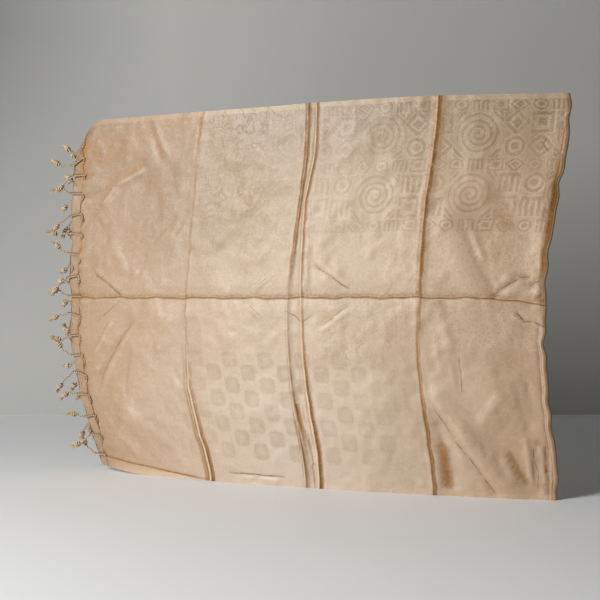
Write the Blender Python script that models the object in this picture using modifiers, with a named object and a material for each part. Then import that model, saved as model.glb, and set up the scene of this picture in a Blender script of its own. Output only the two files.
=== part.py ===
"""A dupatta stole, folded once across its length and stood on its two long edges.

One length of silk damask hangs together at a soft fold on the right. Its two fringed ends meet at
the left, the back one reaching a little further. The grid of sharp creases is left from the way the
cloth was packed: three creases up the height and one along the middle.

Units are metres. X runs along the stole, the viewer stands on the -Y side, Z is up, and the floor
under the cloth is z = 0.
"""

import math

import bmesh
import bpy
from mathutils import Vector

# ---------------------------------------------------------------- driving dimensions
CLOTH_WIDTH = 0.700          # selvedge to selvedge, which is the standing height
MID_HEIGHT = CLOTH_WIDTH / 2
FRONT_RUN = 0.944            # from the fold to the front fringe
BACK_RUN = 0.968             # from the fold to the back fringe
FOLD_X = 0.4840              # where the fold stands at mid-height
WALL = 0.0012                # thickness of one layer of the cloth
SEAM_GAP = 0.0003            # between the end of one piece and the start of the next
LAYER_GAP = 0.0010           # between the faces of the two layers
FOLD_RADIUS = 0.0040         # middle of the wall, round the half-turn at the fold
FOLD_EASE = 0.040            # the layers close up over this run behind the fold
FOOT_BAND = 0.008            # lowest band of the cloth, upright, so that its edge is flat

# Plan: the cloth stands in a shallow curve that bulges towards the viewer.
PLAN_CENTRE_X = 0.0767
PLAN_FRONT_Y = -0.0451       # the foremost line of the curve
PLAN_CURVE = 0.19            # depth in metres for each square metre of distance along X
TOP_LEAN = 0.002             # how far back the top edge stands

# The upright lines bow: both long edges stand further right than the middle crease.
BOW_TOP_AT_FOLD = 0.042
BOW_TOP_AT_FRINGE = 0.012
BOW_BOTTOM_AT_FOLD = 0.023
BOW_BOTTOM_AT_FRINGE = 0.070
BOW_SPREAD_BELOW = 1.8       # above 1, the lower half bows most near the fringe
BOW_DELAY_BELOW = 1.45       # above 1, the lower half bows most near the floor

# The top edge rises a little in the middle of its length.
CROWN = 0.006
CROWN_X = 0.2467
CROWN_HALF_LENGTH = 0.26

# Upright creases: run from the fold, how far each stands out at the bottom, middle and top of the
# cloth, and its half width.
CREASES = (
    # name,               run,    bottom, middle, top,    half_width
    ("third quarter",     0.2185, 0.0070, 0.0030, 0.0075, 0.015),
    ("pleat, right edge", 0.4438, 0.0050, 0.0020, 0.0040, 0.009),
    ("pleat, left edge",  0.4676, 0.0060, 0.0035, 0.0060, 0.009),
    ("first quarter",     0.6781, 0.0080, 0.0005, 0.0015, 0.014),
)
PLEAT_RUN = (0.4438, 0.4676)
PLEAT_SINK = 0.0015          # the band between the pleat's edges lies back by this

# The crease along the middle is a valley.
VALLEY_DEPTH = 0.0065
VALLEY_HALF_WIDTH = 0.024
VALLEY_SAG = 0.004           # the valley lies this far below the middle of the cloth
FOLD_SAG = 0.013             # and this much further down at the fold
FOLD_SAG_REACH = 0.110
SAG_SPREAD = 0.180           # height over which the sag fades out, above and below

# Each panel between creases swells a little: run limits, then how much below and above the valley.
PANELS = (
    # start,  end,    lower,   upper
    (0.0000, 0.2185, 0.0040, 0.0025),
    (0.2185, 0.4438, 0.0045, 0.0030),
    (0.4676, 0.6781, 0.0035, 0.0030),
    (0.6781, BACK_RUN, 0.0050, 0.0040),
)

# The largest soft folds: their two ends as run and height, how far they stand out, half width.
SOFT_FOLDS = (
    # name,                 run_a, height_a, run_b, height_b, out,    half_width
    ("fold end, top",       0.175, 0.470,    0.120, 0.360,    0.0045, 0.030),
    ("fold end, under",     0.110, 0.500,    0.060, 0.440,   -0.0035, 0.030),
    ("long diagonal",       0.190, 0.170,    0.080, 0.010,    0.0050, 0.022),
    ("beside third",        0.195, 0.120,    0.185, 0.020,   -0.0045, 0.020),
    ("fringe end, low",     0.820, 0.290,    0.900, 0.170,   -0.0040, 0.022),
    ("fringe end, high",    0.800, 0.570,    0.920, 0.540,   -0.0040, 0.022),
    ("corner swell",        0.850, 0.110,    0.900, 0.060,    0.0050, 0.025),
    ("upper left",          0.520, 0.540,    0.590, 0.440,   -0.0035, 0.024),
)

# Hems: near the fringe both layers' lower edges lift off the floor.
HEM_SQUEEZE = 0.1            # what is left of the height of the rows that a lifted hem takes up
FRONT_LIFT_START = 0.660
FRONT_LIFT = 0.031
FRONT_LIFT_POWER = 1.2
BACK_LIFT_START = 0.830
BACK_LIFT = 0.009
BACK_LIFT_POWER = 1.3

# The two corners at the fringed end curl back over slanting axes.
CORNER_CURLS = (
    # name,         height,      upward, reach,  radius
    ("top corner",    CLOTH_WIDTH,  1, 0.078, 0.050),
    ("bottom corner", 0.0,         -1, 0.095, 0.100),
)
TOP_CORNER_DROOP = 0.036
TOP_CORNER_REACH = 0.075
TOP_CORNER_HEIGHT = 0.150

# The fringed ends aren't quite straight.
EDGE_WAVES = (
    # size,   wave length, start
    (0.0022, 0.130, 1.0),
    (0.0012, 0.047, 0.4),
)
EDGE_WAVE_REACH = 0.060

# Mesh spacing.
COLUMN_STEP = 0.045
ROW_STEP = 0.054
CORNER_ZONE = 0.115          # the corners that curl have closer stations
CORNER_STEP = 0.026
FOLD_STEPS = 6

# Fringe
TASSELS_EACH_END = 17
TASSEL_FIRST_HEIGHT = 0.030
TASSEL_LAST_HEIGHT = 0.676
STRIP_WIDTH = 0.0020
CORD_RADIUS = 0.0011
KNOT_LENGTH = 0.015
KNOT_PROFILE = (
    # share of the knot's length, radius
    (0.00, 0.0015),
    (0.20, 0.0040),
    (0.45, 0.0050),
    (0.75, 0.0036),
    (1.00, 0.0018),
)
CORD_POINTS = 4
CORD_STAND = 0.0006          # the cords stand this far out from the middle of their strip
FREE_CORD = 0.023            # mean length from the back edge to the knot
FLOOR_CLEARANCE = 0.003      # the lowest knot hangs this far above the floor

COLOURS = {
    "cloth": (0.545, 0.405, 0.272, 1.0),
    "cloth back": (0.500, 0.365, 0.235, 1.0),
    "fringe": (0.560, 0.430, 0.270, 1.0),
}


# ---------------------------------------------------------------- small helpers
def ease(value):
    """Smooth step from 0 to 1."""
    value = min(max(value, 0.0), 1.0)
    return value * value * (3 - 2 * value)


def mix(start, end, share):
    return start + (end - start) * share


def tent(distance, half_width):
    """A crease's section: a sharp crest that falls off softly on both sides."""
    reach = abs(distance) / half_width
    if reach >= 1.0:
        return 0.0
    return (1.0 - reach) ** 1.6


def three_point(height, bottom, middle, top):
    """A size that changes from the bottom of the cloth over its middle to its top."""
    if height < MID_HEIGHT:
        return mix(bottom, middle, height / MID_HEIGHT)
    return mix(middle, top, (height - MID_HEIGHT) / MID_HEIGHT)


# ---------------------------------------------------------------- the form of the folded cloth
def edge_wave(height):
    return sum(size * math.sin(2 * math.pi * height / length + start)
               for size, length, start in EDGE_WAVES)


def bow(run, height):
    """How far right of the middle crease a point stands."""
    share = max(run, 0.0) / BACK_RUN
    away = min(abs(height - MID_HEIGHT) / MID_HEIGHT, 1.0)
    if height > MID_HEIGHT:
        size = mix(BOW_TOP_AT_FOLD, BOW_TOP_AT_FRINGE, share)
    else:
        size = mix(BOW_BOTTOM_AT_FOLD, BOW_BOTTOM_AT_FRINGE, share ** BOW_SPREAD_BELOW)
        away = away ** BOW_DELAY_BELOW
    return size * (1 - math.cos(math.pi * away)) / 2


def crease_relief(run, height):
    """How far creases, the pleat and the valley stand out from the sheet."""
    relief = 0.0
    for _, place, bottom, middle, top, half_width in CREASES:
        relief += three_point(height, bottom, middle, top) * tent(run - place, half_width)
    pleat_start, pleat_end = PLEAT_RUN
    if pleat_start < run < pleat_end:
        relief -= PLEAT_SINK * math.sin(math.pi * (run - pleat_start) / (pleat_end - pleat_start))
    relief -= VALLEY_DEPTH * tent(height - MID_HEIGHT, VALLEY_HALF_WIDTH)
    return relief


def valley_sag(run):
    """How far below the middle of the cloth the valley lies."""
    return VALLEY_SAG + FOLD_SAG * max(1 - run / FOLD_SAG_REACH, 0.0) ** 2


def panel_relief(run, height):
    for start, end, lower, upper in PANELS:
        if start < run < end:
            across = math.sin(math.pi * (run - start) / (end - start))
            along = math.sin(math.pi * abs(height - MID_HEIGHT) / MID_HEIGHT)
            return (lower if height < MID_HEIGHT else upper) * across * along
    return 0.0


def soft_fold_relief(run, height):
    relief = 0.0
    for _, run_a, height_a, run_b, height_b, out, half_width in SOFT_FOLDS:
        along_run = run_b - run_a
        along_height = height_b - height_a
        length = math.hypot(along_run, along_height)
        share = ((run - run_a) * along_run + (height - height_a) * along_height) / length ** 2
        share = min(max(share, 0.0), 1.0)
        distance = math.hypot(run - run_a - along_run * share, height - height_a - along_height * share)
        relief += out * math.exp(-(distance / half_width) ** 2)
    return relief


def curl_corners(x, z, corner_x):
    """Bend the two corners at the fringed end back; returns x, z and the depth gained."""
    depth = 0.0
    for _, corner_z, upward, reach, radius in CORNER_CURLS:
        side = math.sqrt(0.5)
        past_axis = ((corner_x - x) + (z - corner_z) * upward + reach) * side
        if past_axis > 0:
            angle = past_axis / radius
            moved = past_axis - radius * math.sin(angle)
            x += moved * side
            z -= moved * side * upward
            depth += radius * (1 - math.cos(angle))
    return x, z, depth


def sheet_point(run, height):
    """The surface between the two layers, by run from the fold and height up the cloth."""
    level = max(height, FOOT_BAND)
    x = FOLD_X - run + bow(run, level)
    z = height
    corner_x = FOLD_X - BACK_RUN + bow(BACK_RUN, level)
    x, z, depth = curl_corners(x, z, corner_x)
    z += CROWN * (height / CLOTH_WIDTH) * math.exp(-((x - CROWN_X) / CROWN_HALF_LENGTH) ** 2)
    droop = max(run - BACK_RUN + TOP_CORNER_REACH, 0.0) / TOP_CORNER_REACH
    near_top = ease((height - CLOTH_WIDTH + TOP_CORNER_HEIGHT) / TOP_CORNER_HEIGHT)
    z -= TOP_CORNER_DROOP * droop ** 2 * near_top
    z -= valley_sag(run) * ease(1 - abs(height - MID_HEIGHT) / SAG_SPREAD)
    out = crease_relief(run, level) + panel_relief(run, level) + soft_fold_relief(run, level)
    curve = PLAN_FRONT_Y + PLAN_CURVE * (x - PLAN_CENTRE_X) ** 2
    y = curve + TOP_LEAN * level / CLOTH_WIDTH + depth - out
    return Vector((x, y, z))


def sheet_normal(run, height):
    """Unit normal towards the viewer."""
    step = 0.002
    along_run = sheet_point(run + step, height) - sheet_point(run - step, height)
    low = max(height - step, 0.0)
    along_height = sheet_point(run, height + step) - sheet_point(run, low)
    return along_height.cross(along_run).normalized()


def half_gap(run):
    """From the surface between the layers to the middle of either wall."""
    closed = (LAYER_GAP + WALL) / 2
    return mix(closed, FOLD_RADIUS, ease((FOLD_EASE - run) / (FOLD_EASE - FOLD_RADIUS)))


def layer_point(side, run, height):
    """Middle of a wall: side 1 is the front layer, -1 the back one."""
    return sheet_point(run, height) + sheet_normal(run, height) * side * half_gap(run)


def fold_point(turn, height):
    """Middle of the wall round the fold, from turn 0 at the front to pi at the back."""
    centre = sheet_point(FOLD_RADIUS, height)
    normal = sheet_normal(FOLD_RADIUS, height)
    outward = Vector((0, 0, 1)).cross(normal).normalized()
    if outward.x < 0:
        outward.negate()
    return centre + (outward * math.sin(turn) + normal * math.cos(turn)) * FOLD_RADIUS


def hem_lift(side, run):
    """How far a layer's lower edge is off the floor."""
    if side > 0:
        share = (run - FRONT_LIFT_START) / (FRONT_RUN - FRONT_LIFT_START)
        return FRONT_LIFT * max(share, 0.0) ** FRONT_LIFT_POWER
    share = (run - BACK_LIFT_START) / (BACK_RUN - BACK_LIFT_START)
    return BACK_LIFT * max(share, 0.0) ** BACK_LIFT_POWER


def cloth_height(side, run, height):
    """Height up the cloth: no row lies below the lifted hem."""
    return max(height, hem_lift(side, run) + height * HEM_SQUEEZE)


def wavy_run(run, height):
    """Moves the last of the cloth in and out with the waves of its fringed ends."""
    return run + edge_wave(height) * ease((run - FRONT_RUN + EDGE_WAVE_REACH) / EDGE_WAVE_REACH)


# ---------------------------------------------------------------- stations across and up the cloth
def fill(stations, step):
    """Adds even stations between the given ones, none further apart than the step."""
    filled = [stations[0]]
    for station in stations[1:]:
        start = filled[-1]
        count = max(1, math.ceil((station - start) / step))
        filled += [start + (station - start) * n / count for n in range(1, count + 1)]
    return filled


def run_stations(start, end):
    places = {start, end, FRONT_RUN}
    for _, place, _, _, _, half_width in CREASES:
        for share in (-1.0, -0.4, 0.0, 0.4, 1.0):
            places.add(place + share * half_width)
    kept = []
    for place in sorted(places):
        if not kept or place - kept[-1] > 0.002:
            kept.append(place)
    corner = FRONT_RUN - CORNER_ZONE
    plain = fill([place for place in kept if place < corner] + [corner], COLUMN_STEP)
    close = fill([corner] + [place for place in kept if place > corner], CORNER_STEP)
    return plain + close[1:]


def height_stations():
    low = fill([0.0, FOOT_BAND, CORNER_ZONE], CORNER_STEP)
    middle = [MID_HEIGHT + share * VALLEY_HALF_WIDTH for share in (-1.0, -0.4, 0.0, 0.4, 1.0)]
    middle = fill([CORNER_ZONE] + middle + [CLOTH_WIDTH - CORNER_ZONE], ROW_STEP)
    high = fill([CLOTH_WIDTH - CORNER_ZONE, CLOTH_WIDTH], CORNER_STEP)
    return low + middle[1:] + high[1:]


# ---------------------------------------------------------------- building
def clear_scene():
    for old in list(bpy.data.objects):
        bpy.data.objects.remove(old, do_unlink=True)


def new_collection(name):
    collection = bpy.data.collections.new(name)
    bpy.context.scene.collection.children.link(collection)
    return collection


def new_material(name, colour, roughness):
    material = bpy.data.materials.new(name)
    material.use_nodes = True
    shader = material.node_tree.nodes["Principled BSDF"]
    shader.inputs["Base Color"].default_value = colour
    shader.inputs["Roughness"].default_value = roughness
    shader.inputs["Metallic"].default_value = 0.0
    return material


def sheet_mesh(name, columns):
    """A grid whose columns are lists of points, each from the bottom to the top."""
    across = len(columns) - 1
    up = len(columns[0]) - 1
    mesh = bpy.data.meshes.new(name)
    grid = bmesh.new()
    bmesh.ops.create_grid(grid, x_segments=across, y_segments=up, size=0.5)
    for vertex in grid.verts:
        column = round((vertex.co.x + 0.5) * across)
        row = round((vertex.co.y + 0.5) * up)
        vertex.co = columns[column][row]
    grid.to_mesh(mesh)
    grid.free()
    return mesh


def walled(name, columns, collection, material):
    """A wall of the cloth's thickness on both sides of the grid's points."""
    piece = bpy.data.objects.new(name, sheet_mesh(name, columns))
    collection.objects.link(piece)
    piece.data.materials.append(material)
    piece.data.shade_smooth()
    wall = piece.modifiers.new("Wall", "SOLIDIFY")
    wall.thickness = WALL
    wall.offset = 0.0
    return piece


def layer_columns(side, start, end_run):
    heights = height_stations()
    columns = []
    for run in run_stations(start, end_run):
        points = []
        for height in heights:
            level = cloth_height(side, run, height)
            points.append(layer_point(side, wavy_run(run, level), level))
        columns.append(points)
    return columns


def front_layer(collection):
    """The front stretch of the stole, with the half-turn of the fold."""
    heights = height_stations()
    turns = [math.pi * n / FOLD_STEPS for n in range(1, FOLD_STEPS + 1)]
    columns = [[fold_point(turn, height) for height in heights] for turn in reversed(turns)]
    columns += layer_columns(1, FOLD_RADIUS, FRONT_RUN)
    material = new_material("stole cloth, front", COLOURS["cloth"], 0.55)
    return walled("stole_front_layer", columns, collection, material)


def back_layer(collection):
    """The back stretch, from the seam behind the fold to the other fringed end."""
    columns = layer_columns(-1, FOLD_RADIUS + SEAM_GAP, BACK_RUN)
    material = new_material("stole cloth, back", COLOURS["cloth back"], 0.55)
    return walled("stole_back_layer", columns, collection, material)


def edge_column(side, run, hem_side):
    """Points up a fringed end at the height stations of one layer's hem."""
    points = []
    for height in height_stations():
        level = cloth_height(hem_side, run, height)
        points.append(layer_point(side, run + edge_wave(level), level))
    return points


def point_on_column(points, height):
    """The point at a height on the straight runs between a column's points."""
    heights = height_stations()
    for n in range(1, len(heights)):
        if height <= heights[n]:
            share = (height - heights[n - 1]) / (heights[n] - heights[n - 1])
            return points[n - 1].lerp(points[n], share)
    return points[-1].copy()


def tassel_path(side, end_run, number):
    """Points of one tassel's cord and knot, with a radius for each."""
    share = number / (TASSELS_EACH_END - 1)
    height = mix(TASSEL_FIRST_HEIGHT, TASSEL_LAST_HEIGHT, share)
    if side < 0:
        height -= 0.35 * (TASSEL_LAST_HEIGHT - TASSEL_FIRST_HEIGHT) / (TASSELS_EACH_END - 1)
    strip_middle = end_run + SEAM_GAP + STRIP_WIDTH / 2
    root = point_on_column(edge_column(side, strip_middle, side), height)
    level = cloth_height(side, end_run, height)
    normal = sheet_normal(BACK_RUN, level)
    outward = (sheet_point(BACK_RUN, level) - sheet_point(BACK_RUN - 0.004, level)).normalized()
    swing = math.sin(2.4 * number + 0.9 * side + 1.0)
    length = FREE_CORD * (1.0 + 0.18 * math.sin(1.7 * number + side))
    rise = length * (0.60 * swing - 0.08)
    out = 0.0085 + 0.0020 * math.sin(3.1 * number)
    points = []
    if side > 0:
        # the front cords lie on the strip of the back layer that shows beyond the front one
        points.append((root + normal * CORD_STAND, CORD_RADIUS))
        root = point_on_column(edge_column(1, BACK_RUN, -1), height) + normal * CORD_STAND
    for n in range(CORD_POINTS):
        along = n / (CORD_POINTS - 1)
        point = root + outward * length * along + normal * side * (CORD_STAND + out * along)
        point.z += rise * along ** 1.3
        points.append((point, CORD_RADIUS))
    end = points[-1][0]
    way = (end - points[-2][0]).normalized()
    for share_along, radius in KNOT_PROFILE:
        points.append((end + way * (0.0015 + KNOT_LENGTH * share_along), radius))
    lowest = min(point.z - radius for point, radius in points)
    lift = max(0.0, FLOOR_CLEARANCE - lowest)
    return [(point + Vector((0, 0, lift * n / len(points))), radius)
            for n, (point, radius) in enumerate(points)]


def tassel_mesh(path):
    """One tassel as a tube whose radius follows its cord and knot."""
    curve = bpy.data.curves.new("tassel", "CURVE")
    curve.dimensions = "3D"
    curve.bevel_depth = 1.0
    curve.bevel_resolution = 0
    curve.use_fill_caps = True
    spline = curve.splines.new("POLY")
    spline.points.add(len(path) - 1)
    for spline_point, (point, radius) in zip(spline.points, path):
        spline_point.co = (*point, 1.0)
        spline_point.radius = radius
    holder = bpy.data.objects.new("tassel", curve)
    bpy.context.scene.collection.objects.link(holder)
    bpy.context.view_layer.update()
    evaluated = holder.evaluated_get(bpy.context.evaluated_depsgraph_get())
    mesh = bpy.data.meshes.new_from_object(evaluated)
    bpy.data.objects.remove(holder, do_unlink=True)
    bpy.data.curves.remove(curve)
    return mesh


def fringe(name, side, end_run, collection, cutters, material):
    """A narrow strip along a fringed end with its tassels fused into it."""
    tassels = bmesh.new()
    for number in range(TASSELS_EACH_END):
        mesh = tassel_mesh(tassel_path(side, end_run, number))
        tassels.from_mesh(mesh)
        bpy.data.meshes.remove(mesh)
    bmesh.ops.remove_doubles(tassels, verts=tassels.verts, dist=0.00002)
    bmesh.ops.recalc_face_normals(tassels, faces=tassels.faces)
    joined = bpy.data.meshes.new(name + "_tassels")
    tassels.to_mesh(joined)
    tassels.free()
    cutter = bpy.data.objects.new(name + "_tassels", joined)
    cutters.objects.link(cutter)
    cutter.hide_render = True
    cutter.display_type = "WIRE"

    edges = (end_run + SEAM_GAP, end_run + SEAM_GAP + STRIP_WIDTH)
    columns = [edge_column(side, run, side) for run in edges]
    strip = walled(name, columns, collection, material)
    fuse = strip.modifiers.new("Fuse tassels", "BOOLEAN")
    fuse.operation = "UNION"
    fuse.solver = "EXACT"
    fuse.object = cutter
    return strip


def main():
    clear_scene()
    stole = new_collection("dupatta_stole")
    cutters = new_collection("cutters")
    front_layer(stole)
    back_layer(stole)
    yarn_front = new_material("fringe yarn, front", COLOURS["fringe"], 0.75)
    yarn_back = new_material("fringe yarn, back", COLOURS["fringe"], 0.75)
    fringe("front_fringe", 1, FRONT_RUN, stole, cutters, yarn_front)
    fringe("back_fringe", -1, BACK_RUN, stole, cutters, yarn_back)


main()
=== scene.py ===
# %% [markdown]
# A dupatta stole is one long length of silk damask with a knotted fringe at each end. Here it has
# been folded once across its length, pressed with a grid of packing creases, and stood on its two
# long edges. This lesson dresses the solid model of it: two leaves of thin cloth, two fringes and
# the finishes. Every size is in metres. X runs along the stole, the viewer is on the -Y side, and
# the floor under the cloth is at z = 0.
#
# The frame comes first. It loads the solid parts, says where they are, and its box is the limit
# that every new piece has to keep to.

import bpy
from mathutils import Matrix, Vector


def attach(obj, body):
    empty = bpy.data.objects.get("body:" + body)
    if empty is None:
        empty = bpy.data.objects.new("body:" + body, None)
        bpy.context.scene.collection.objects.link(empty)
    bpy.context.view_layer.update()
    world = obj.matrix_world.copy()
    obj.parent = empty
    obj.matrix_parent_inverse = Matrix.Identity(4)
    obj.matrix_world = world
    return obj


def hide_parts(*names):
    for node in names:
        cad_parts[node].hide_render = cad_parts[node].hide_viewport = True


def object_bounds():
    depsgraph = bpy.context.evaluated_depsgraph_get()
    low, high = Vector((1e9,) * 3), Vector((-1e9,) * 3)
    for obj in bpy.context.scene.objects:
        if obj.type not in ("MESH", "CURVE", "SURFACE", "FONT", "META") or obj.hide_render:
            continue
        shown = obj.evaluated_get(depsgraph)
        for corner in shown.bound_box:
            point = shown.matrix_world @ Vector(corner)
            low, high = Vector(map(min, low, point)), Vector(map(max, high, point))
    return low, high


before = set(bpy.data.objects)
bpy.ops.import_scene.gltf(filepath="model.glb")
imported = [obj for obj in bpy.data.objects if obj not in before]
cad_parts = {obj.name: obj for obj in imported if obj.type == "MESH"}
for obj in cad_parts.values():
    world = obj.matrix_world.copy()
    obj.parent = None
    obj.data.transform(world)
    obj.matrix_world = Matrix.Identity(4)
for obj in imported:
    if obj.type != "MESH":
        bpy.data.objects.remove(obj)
cad_box = [list(corner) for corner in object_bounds()]

import math

import bpy
import numpy as np
from mathutils import Vector

LOW, HIGH = (np.array(corner) for corner in cad_box)
print("solid box, low corner", LOW.round(4), "high corner", HIGH.round(4))

# %% [markdown]
# The camera stands a little to the right of the stole and almost at the height of its middle, so
# that the left end turns away and the folded end on the right comes towards the viewer. A long lens
# keeps the upright creases nearly parallel, where a short one would spread them.

# %% Camera
CAMERA_PLACE = (0.8707, -2.1807, 0.3777)
CAMERA_TURN = 21.26          # degrees to the left of straight ahead
CAMERA_TILT = -0.835         # degrees, below the horizontal
LENS_MM = 75.0

camera_data = bpy.data.cameras.new("camera")
camera_data.lens = LENS_MM
camera_data.sensor_width = 36.0
camera = bpy.data.objects.new("camera", camera_data)
camera.location = CAMERA_PLACE
camera.rotation_euler = (math.radians(90 + CAMERA_TILT), 0.0, math.radians(CAMERA_TURN))
bpy.context.scene.collection.objects.link(camera)
bpy.context.scene.camera = camera
print("camera at", CAMERA_PLACE, "with a", LENS_MM, "mm lens")

# %% [markdown]
# The cloth is made from one idea: a point of the stole is named by its run, the distance from the
# fold measured along the cloth, and its height, the distance up from the lower selvedge. A function
# turns run and height into a place in the room. It could be sculpted or simulated instead, but the
# packing creases are sharp and lie at even quarters, and a function puts each one exactly where
# the pressing iron left it. These are the sizes of the main form, the same as the solid's.

# %% Sizes of the folded stole
WIDTH = 0.700                # selvedge to selvedge, which is the standing height
MIDDLE = WIDTH / 2
FRONT_RUN = 0.944            # fold to front fringe
BACK_RUN = 0.968             # fold to back fringe
FRONT, BACK = 1, -1          # which way each leaf lies from the sheet between them
END_RUN = {FRONT: FRONT_RUN, BACK: BACK_RUN}
FOLD_X = 0.4840
CLOTH = 0.0006               # thickness of the shell that stands for the silk
LEAF_GAP = 0.0022            # middle of one leaf to the middle of the other
FOLD_RADIUS = 0.0040         # middle of the cloth, round the half turn at the fold
FOLD_EASE = 0.040            # the leaves close up over this run
SEAM_GAP = 0.0003
FOOT = 0.008                 # lowest band of the cloth, which stands upright

PLAN_CENTRE_X, PLAN_FRONT_Y, PLAN_CURVE = 0.0767, -0.0451, 0.19
TOP_LEAN = 0.002
BOW_TOP = (0.042, 0.012)     # at the fold and at the fringe
BOW_BOTTOM = (0.023, 0.070)
CROWN, CROWN_X, CROWN_HALF = 0.006, 0.2467, 0.26
VALLEY_SAG, FOLD_SAG, FOLD_SAG_REACH, SAG_SPREAD = 0.004, 0.013, 0.110, 0.180
PRESSED_AT = {"third": 0.2185, "pleat right": 0.4438, "pleat left": 0.4676, "first": 0.6781}
print(f"cloth {WIDTH} m wide, {FRONT_RUN + BACK_RUN:.3f} m long, pressed at runs {PRESSED_AT}")

# %% Small helpers for soft shapes
def ease(value):
    """Smooth step from 0 to 1."""
    value = np.clip(value, 0.0, 1.0)
    return value * value * (3 - 2 * value)


def mix(start, end, share):
    return start + (end - start) * share


def tent(distance, half_width, sharpness=1.6):
    """A crease's section: a crest that falls off softly on both sides."""
    return (1.0 - np.clip(np.abs(distance) / half_width, 0.0, 1.0)) ** sharpness


def up_the_cloth(height, sizes):
    """A size that is given at even steps from the lower selvedge to the upper one, or once for all."""
    return np.interp(height, np.linspace(0.0, WIDTH, len(sizes)), sizes)


def beside(run, height, run_a, height_a, run_b, height_b):
    """Distance from the line between two points of the cloth, and the share along it."""
    along_run, along_height = run_b - run_a, height_b - height_a
    length = math.hypot(along_run, along_height)
    share = ((run - run_a) * along_run + (height - height_a) * along_height) / length ** 2
    near = np.clip(share, 0.0, 1.0)
    distance = np.hypot(run - run_a - along_run * near, height - height_a - along_height * near)
    return distance, share


def in_metres(rows):
    """A table of lengths in millimetres, as rows in metres."""
    return [[length / 1000 for length in row] for row in rows]


print("a tent crease 10 mm wide, 3 mm from its crest, is", round(float(tent(0.003, 0.010)), 3))

# %% [markdown]
# The relief is how far the cloth stands out from its smooth curve. The broad part of each pressed
# crease, the swell of each panel between creases and the largest soft folds are shared with the
# solid. Each row of a table is one crease or fold, so that one can be moved without the others.

# %% Broad relief, shared with the solid
BROAD_CREASES = dict(zip(PRESSED_AT, in_metres((
    # half width, then out at the bottom, middle and top, in millimetres
    (15, 1.4, 0.8, 1.2),
    (9, 1.0, 0.4, 0.7),
    (9, 1.2, 0.6, 1.0),
    (14, 2.0, 0.3, 0.5),
))))
PANELS = in_metres((
    # start, end, swell below and above the middle crease, in millimetres
    (0, 218.5, 4.0, -1.5),
    (218.5, 443.8, 4.5, -1.5),
    (467.6, 678.1, 3.5, -2.0),
    (678.1, 968, 5.0, -3.5),
))
BROAD_FOLDS = in_metres((
    # run a, height a, run b, height b, out, half width, in millimetres
    (175, 470, 120, 360, 4.5, 30),
    (110, 500, 60, 440, -3.5, 30),
    (190, 170, 80, 10, 5, 22),
    (195, 120, 185, 20, -4.5, 20),
    (820, 290, 900, 170, -4, 22),
    (800, 570, 920, 540, -4, 22),
    (850, 110, 900, 60, 5, 25),
    (520, 540, 590, 440, -1.4, 24),
))
PLEAT_DIP = 0.0015
MIDDLE_DIP, MIDDLE_DIP_HALF = 0.0028, 0.024


def broad_relief(run, height):
    relief = np.zeros_like(run)
    for crease, (half_width, *sizes) in BROAD_CREASES.items():
        relief += up_the_cloth(height, sizes) * tent(run - PRESSED_AT[crease], half_width)
    right, left = PRESSED_AT["pleat right"], PRESSED_AT["pleat left"]
    relief -= PLEAT_DIP * np.sin(math.pi * np.clip((run - right) / (left - right), 0, 1))
    relief -= MIDDLE_DIP * tent(height - MIDDLE, MIDDLE_DIP_HALF)
    along = np.sin(math.pi * np.abs(height - MIDDLE) / MIDDLE)
    for start, end, lower, upper in PANELS:
        across = np.sin(math.pi * np.clip((run - start) / (end - start), 0, 1))
        relief += np.where(height < MIDDLE, lower, upper) * across * along
    for *ends, out, half_width in BROAD_FOLDS:
        distance, _ = beside(run, height, *ends)
        relief += out * np.exp(-(distance / half_width) ** 2)
    return relief


print("a panel stands out by", broad_relief(np.array(0.1), np.array(0.1)).round(4), "m")

# %% [markdown]
# Close up, a pressed crease is a narrow pinch inside the broad one, and it changes from a ridge to
# a valley where it crosses the middle crease, because the cloth was folded in four. These tables
# hold the narrow pinches, with sizes at nine even heights, and how far each crease wanders from its
# straight line. The cloth near the fold also rolls back a little above the middle.

# %% Tables of the pinched creases, the wander and the roll
PINCHES = (
    # crease, beside it, half width, out at nine heights from the lower selvedge up, in millimetres
    ("third", 0, 3.0, -1.0, -1.0, -.9, -.6, 0, .6, .7, .8, .8),
    ("pleat right", 0, 3.4, 1.8, 1.6, 1.4, .9, .4, .8, .9, .9, .9),
    ("pleat right", -7.0, 6.5, -1.0, -.9, -.7, -.4, -.2, -.3, -.3, -.4, -.4),
    ("pleat left", 0, 3.2, .8, .9, .6, .5, 0, -.9, -1.0, -1.1, -1.1),
    ("pleat left", 6.8, 6.5, -.3, -.4, 0, 0, 0, .3, .4, .4, .4),
    ("first", 0, 3.2, 1.8, 1.6, 1.2, .5, .2, .4, .4, .4, .4),
    ("first", -7.5, 7.0, -1.1, -.9, -.6, -.2, 0, 0, 0, 0, 0),
    ("first", 6.2, 3.2, -.8, .9, 1.0, .3, 0, -.4, -.4, -.4, -.4),
)
WANDER = dict(zip(PRESSED_AT, in_metres((
    # how far each line strays at the nine heights, in millimetres, away from the fold where positive
    (-1, 3, 4, 6, 2, 3, 7, 6, 3),
    (-3, -5, -3, -3, 0, 1, 5, -5, -3),
    (1, 4, 3, 3, 3, -6, -9, -10.5, -9),
    (-4, 9, 12, 5, 7, -1, -2, -3, -13),
))))
ROLL_DEPTH, ROLL_WIDTH = in_metres(((1, 1, 1, 1, 2, 5, 9, 3.5, 1), (10, 10, 10, 10, 12, 15, 26, 28, 12)))
EDGE_PINCHES = in_metres((
    # run, half width, out at the nine heights, in millimetres
    (6.5, 3.0, .4, 1.4, 1.2, 1.4, .4, 0, .4, 1.2, .4),
    (12.5, 3.5, .6, -1.2, -1.2, -1.2, 0, 0, 0, 0, 0),
))
print("pinches:", len(PINCHES) + len(EDGE_PINCHES), "and the deepest roll is", max(ROLL_DEPTH), "m")

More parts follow.
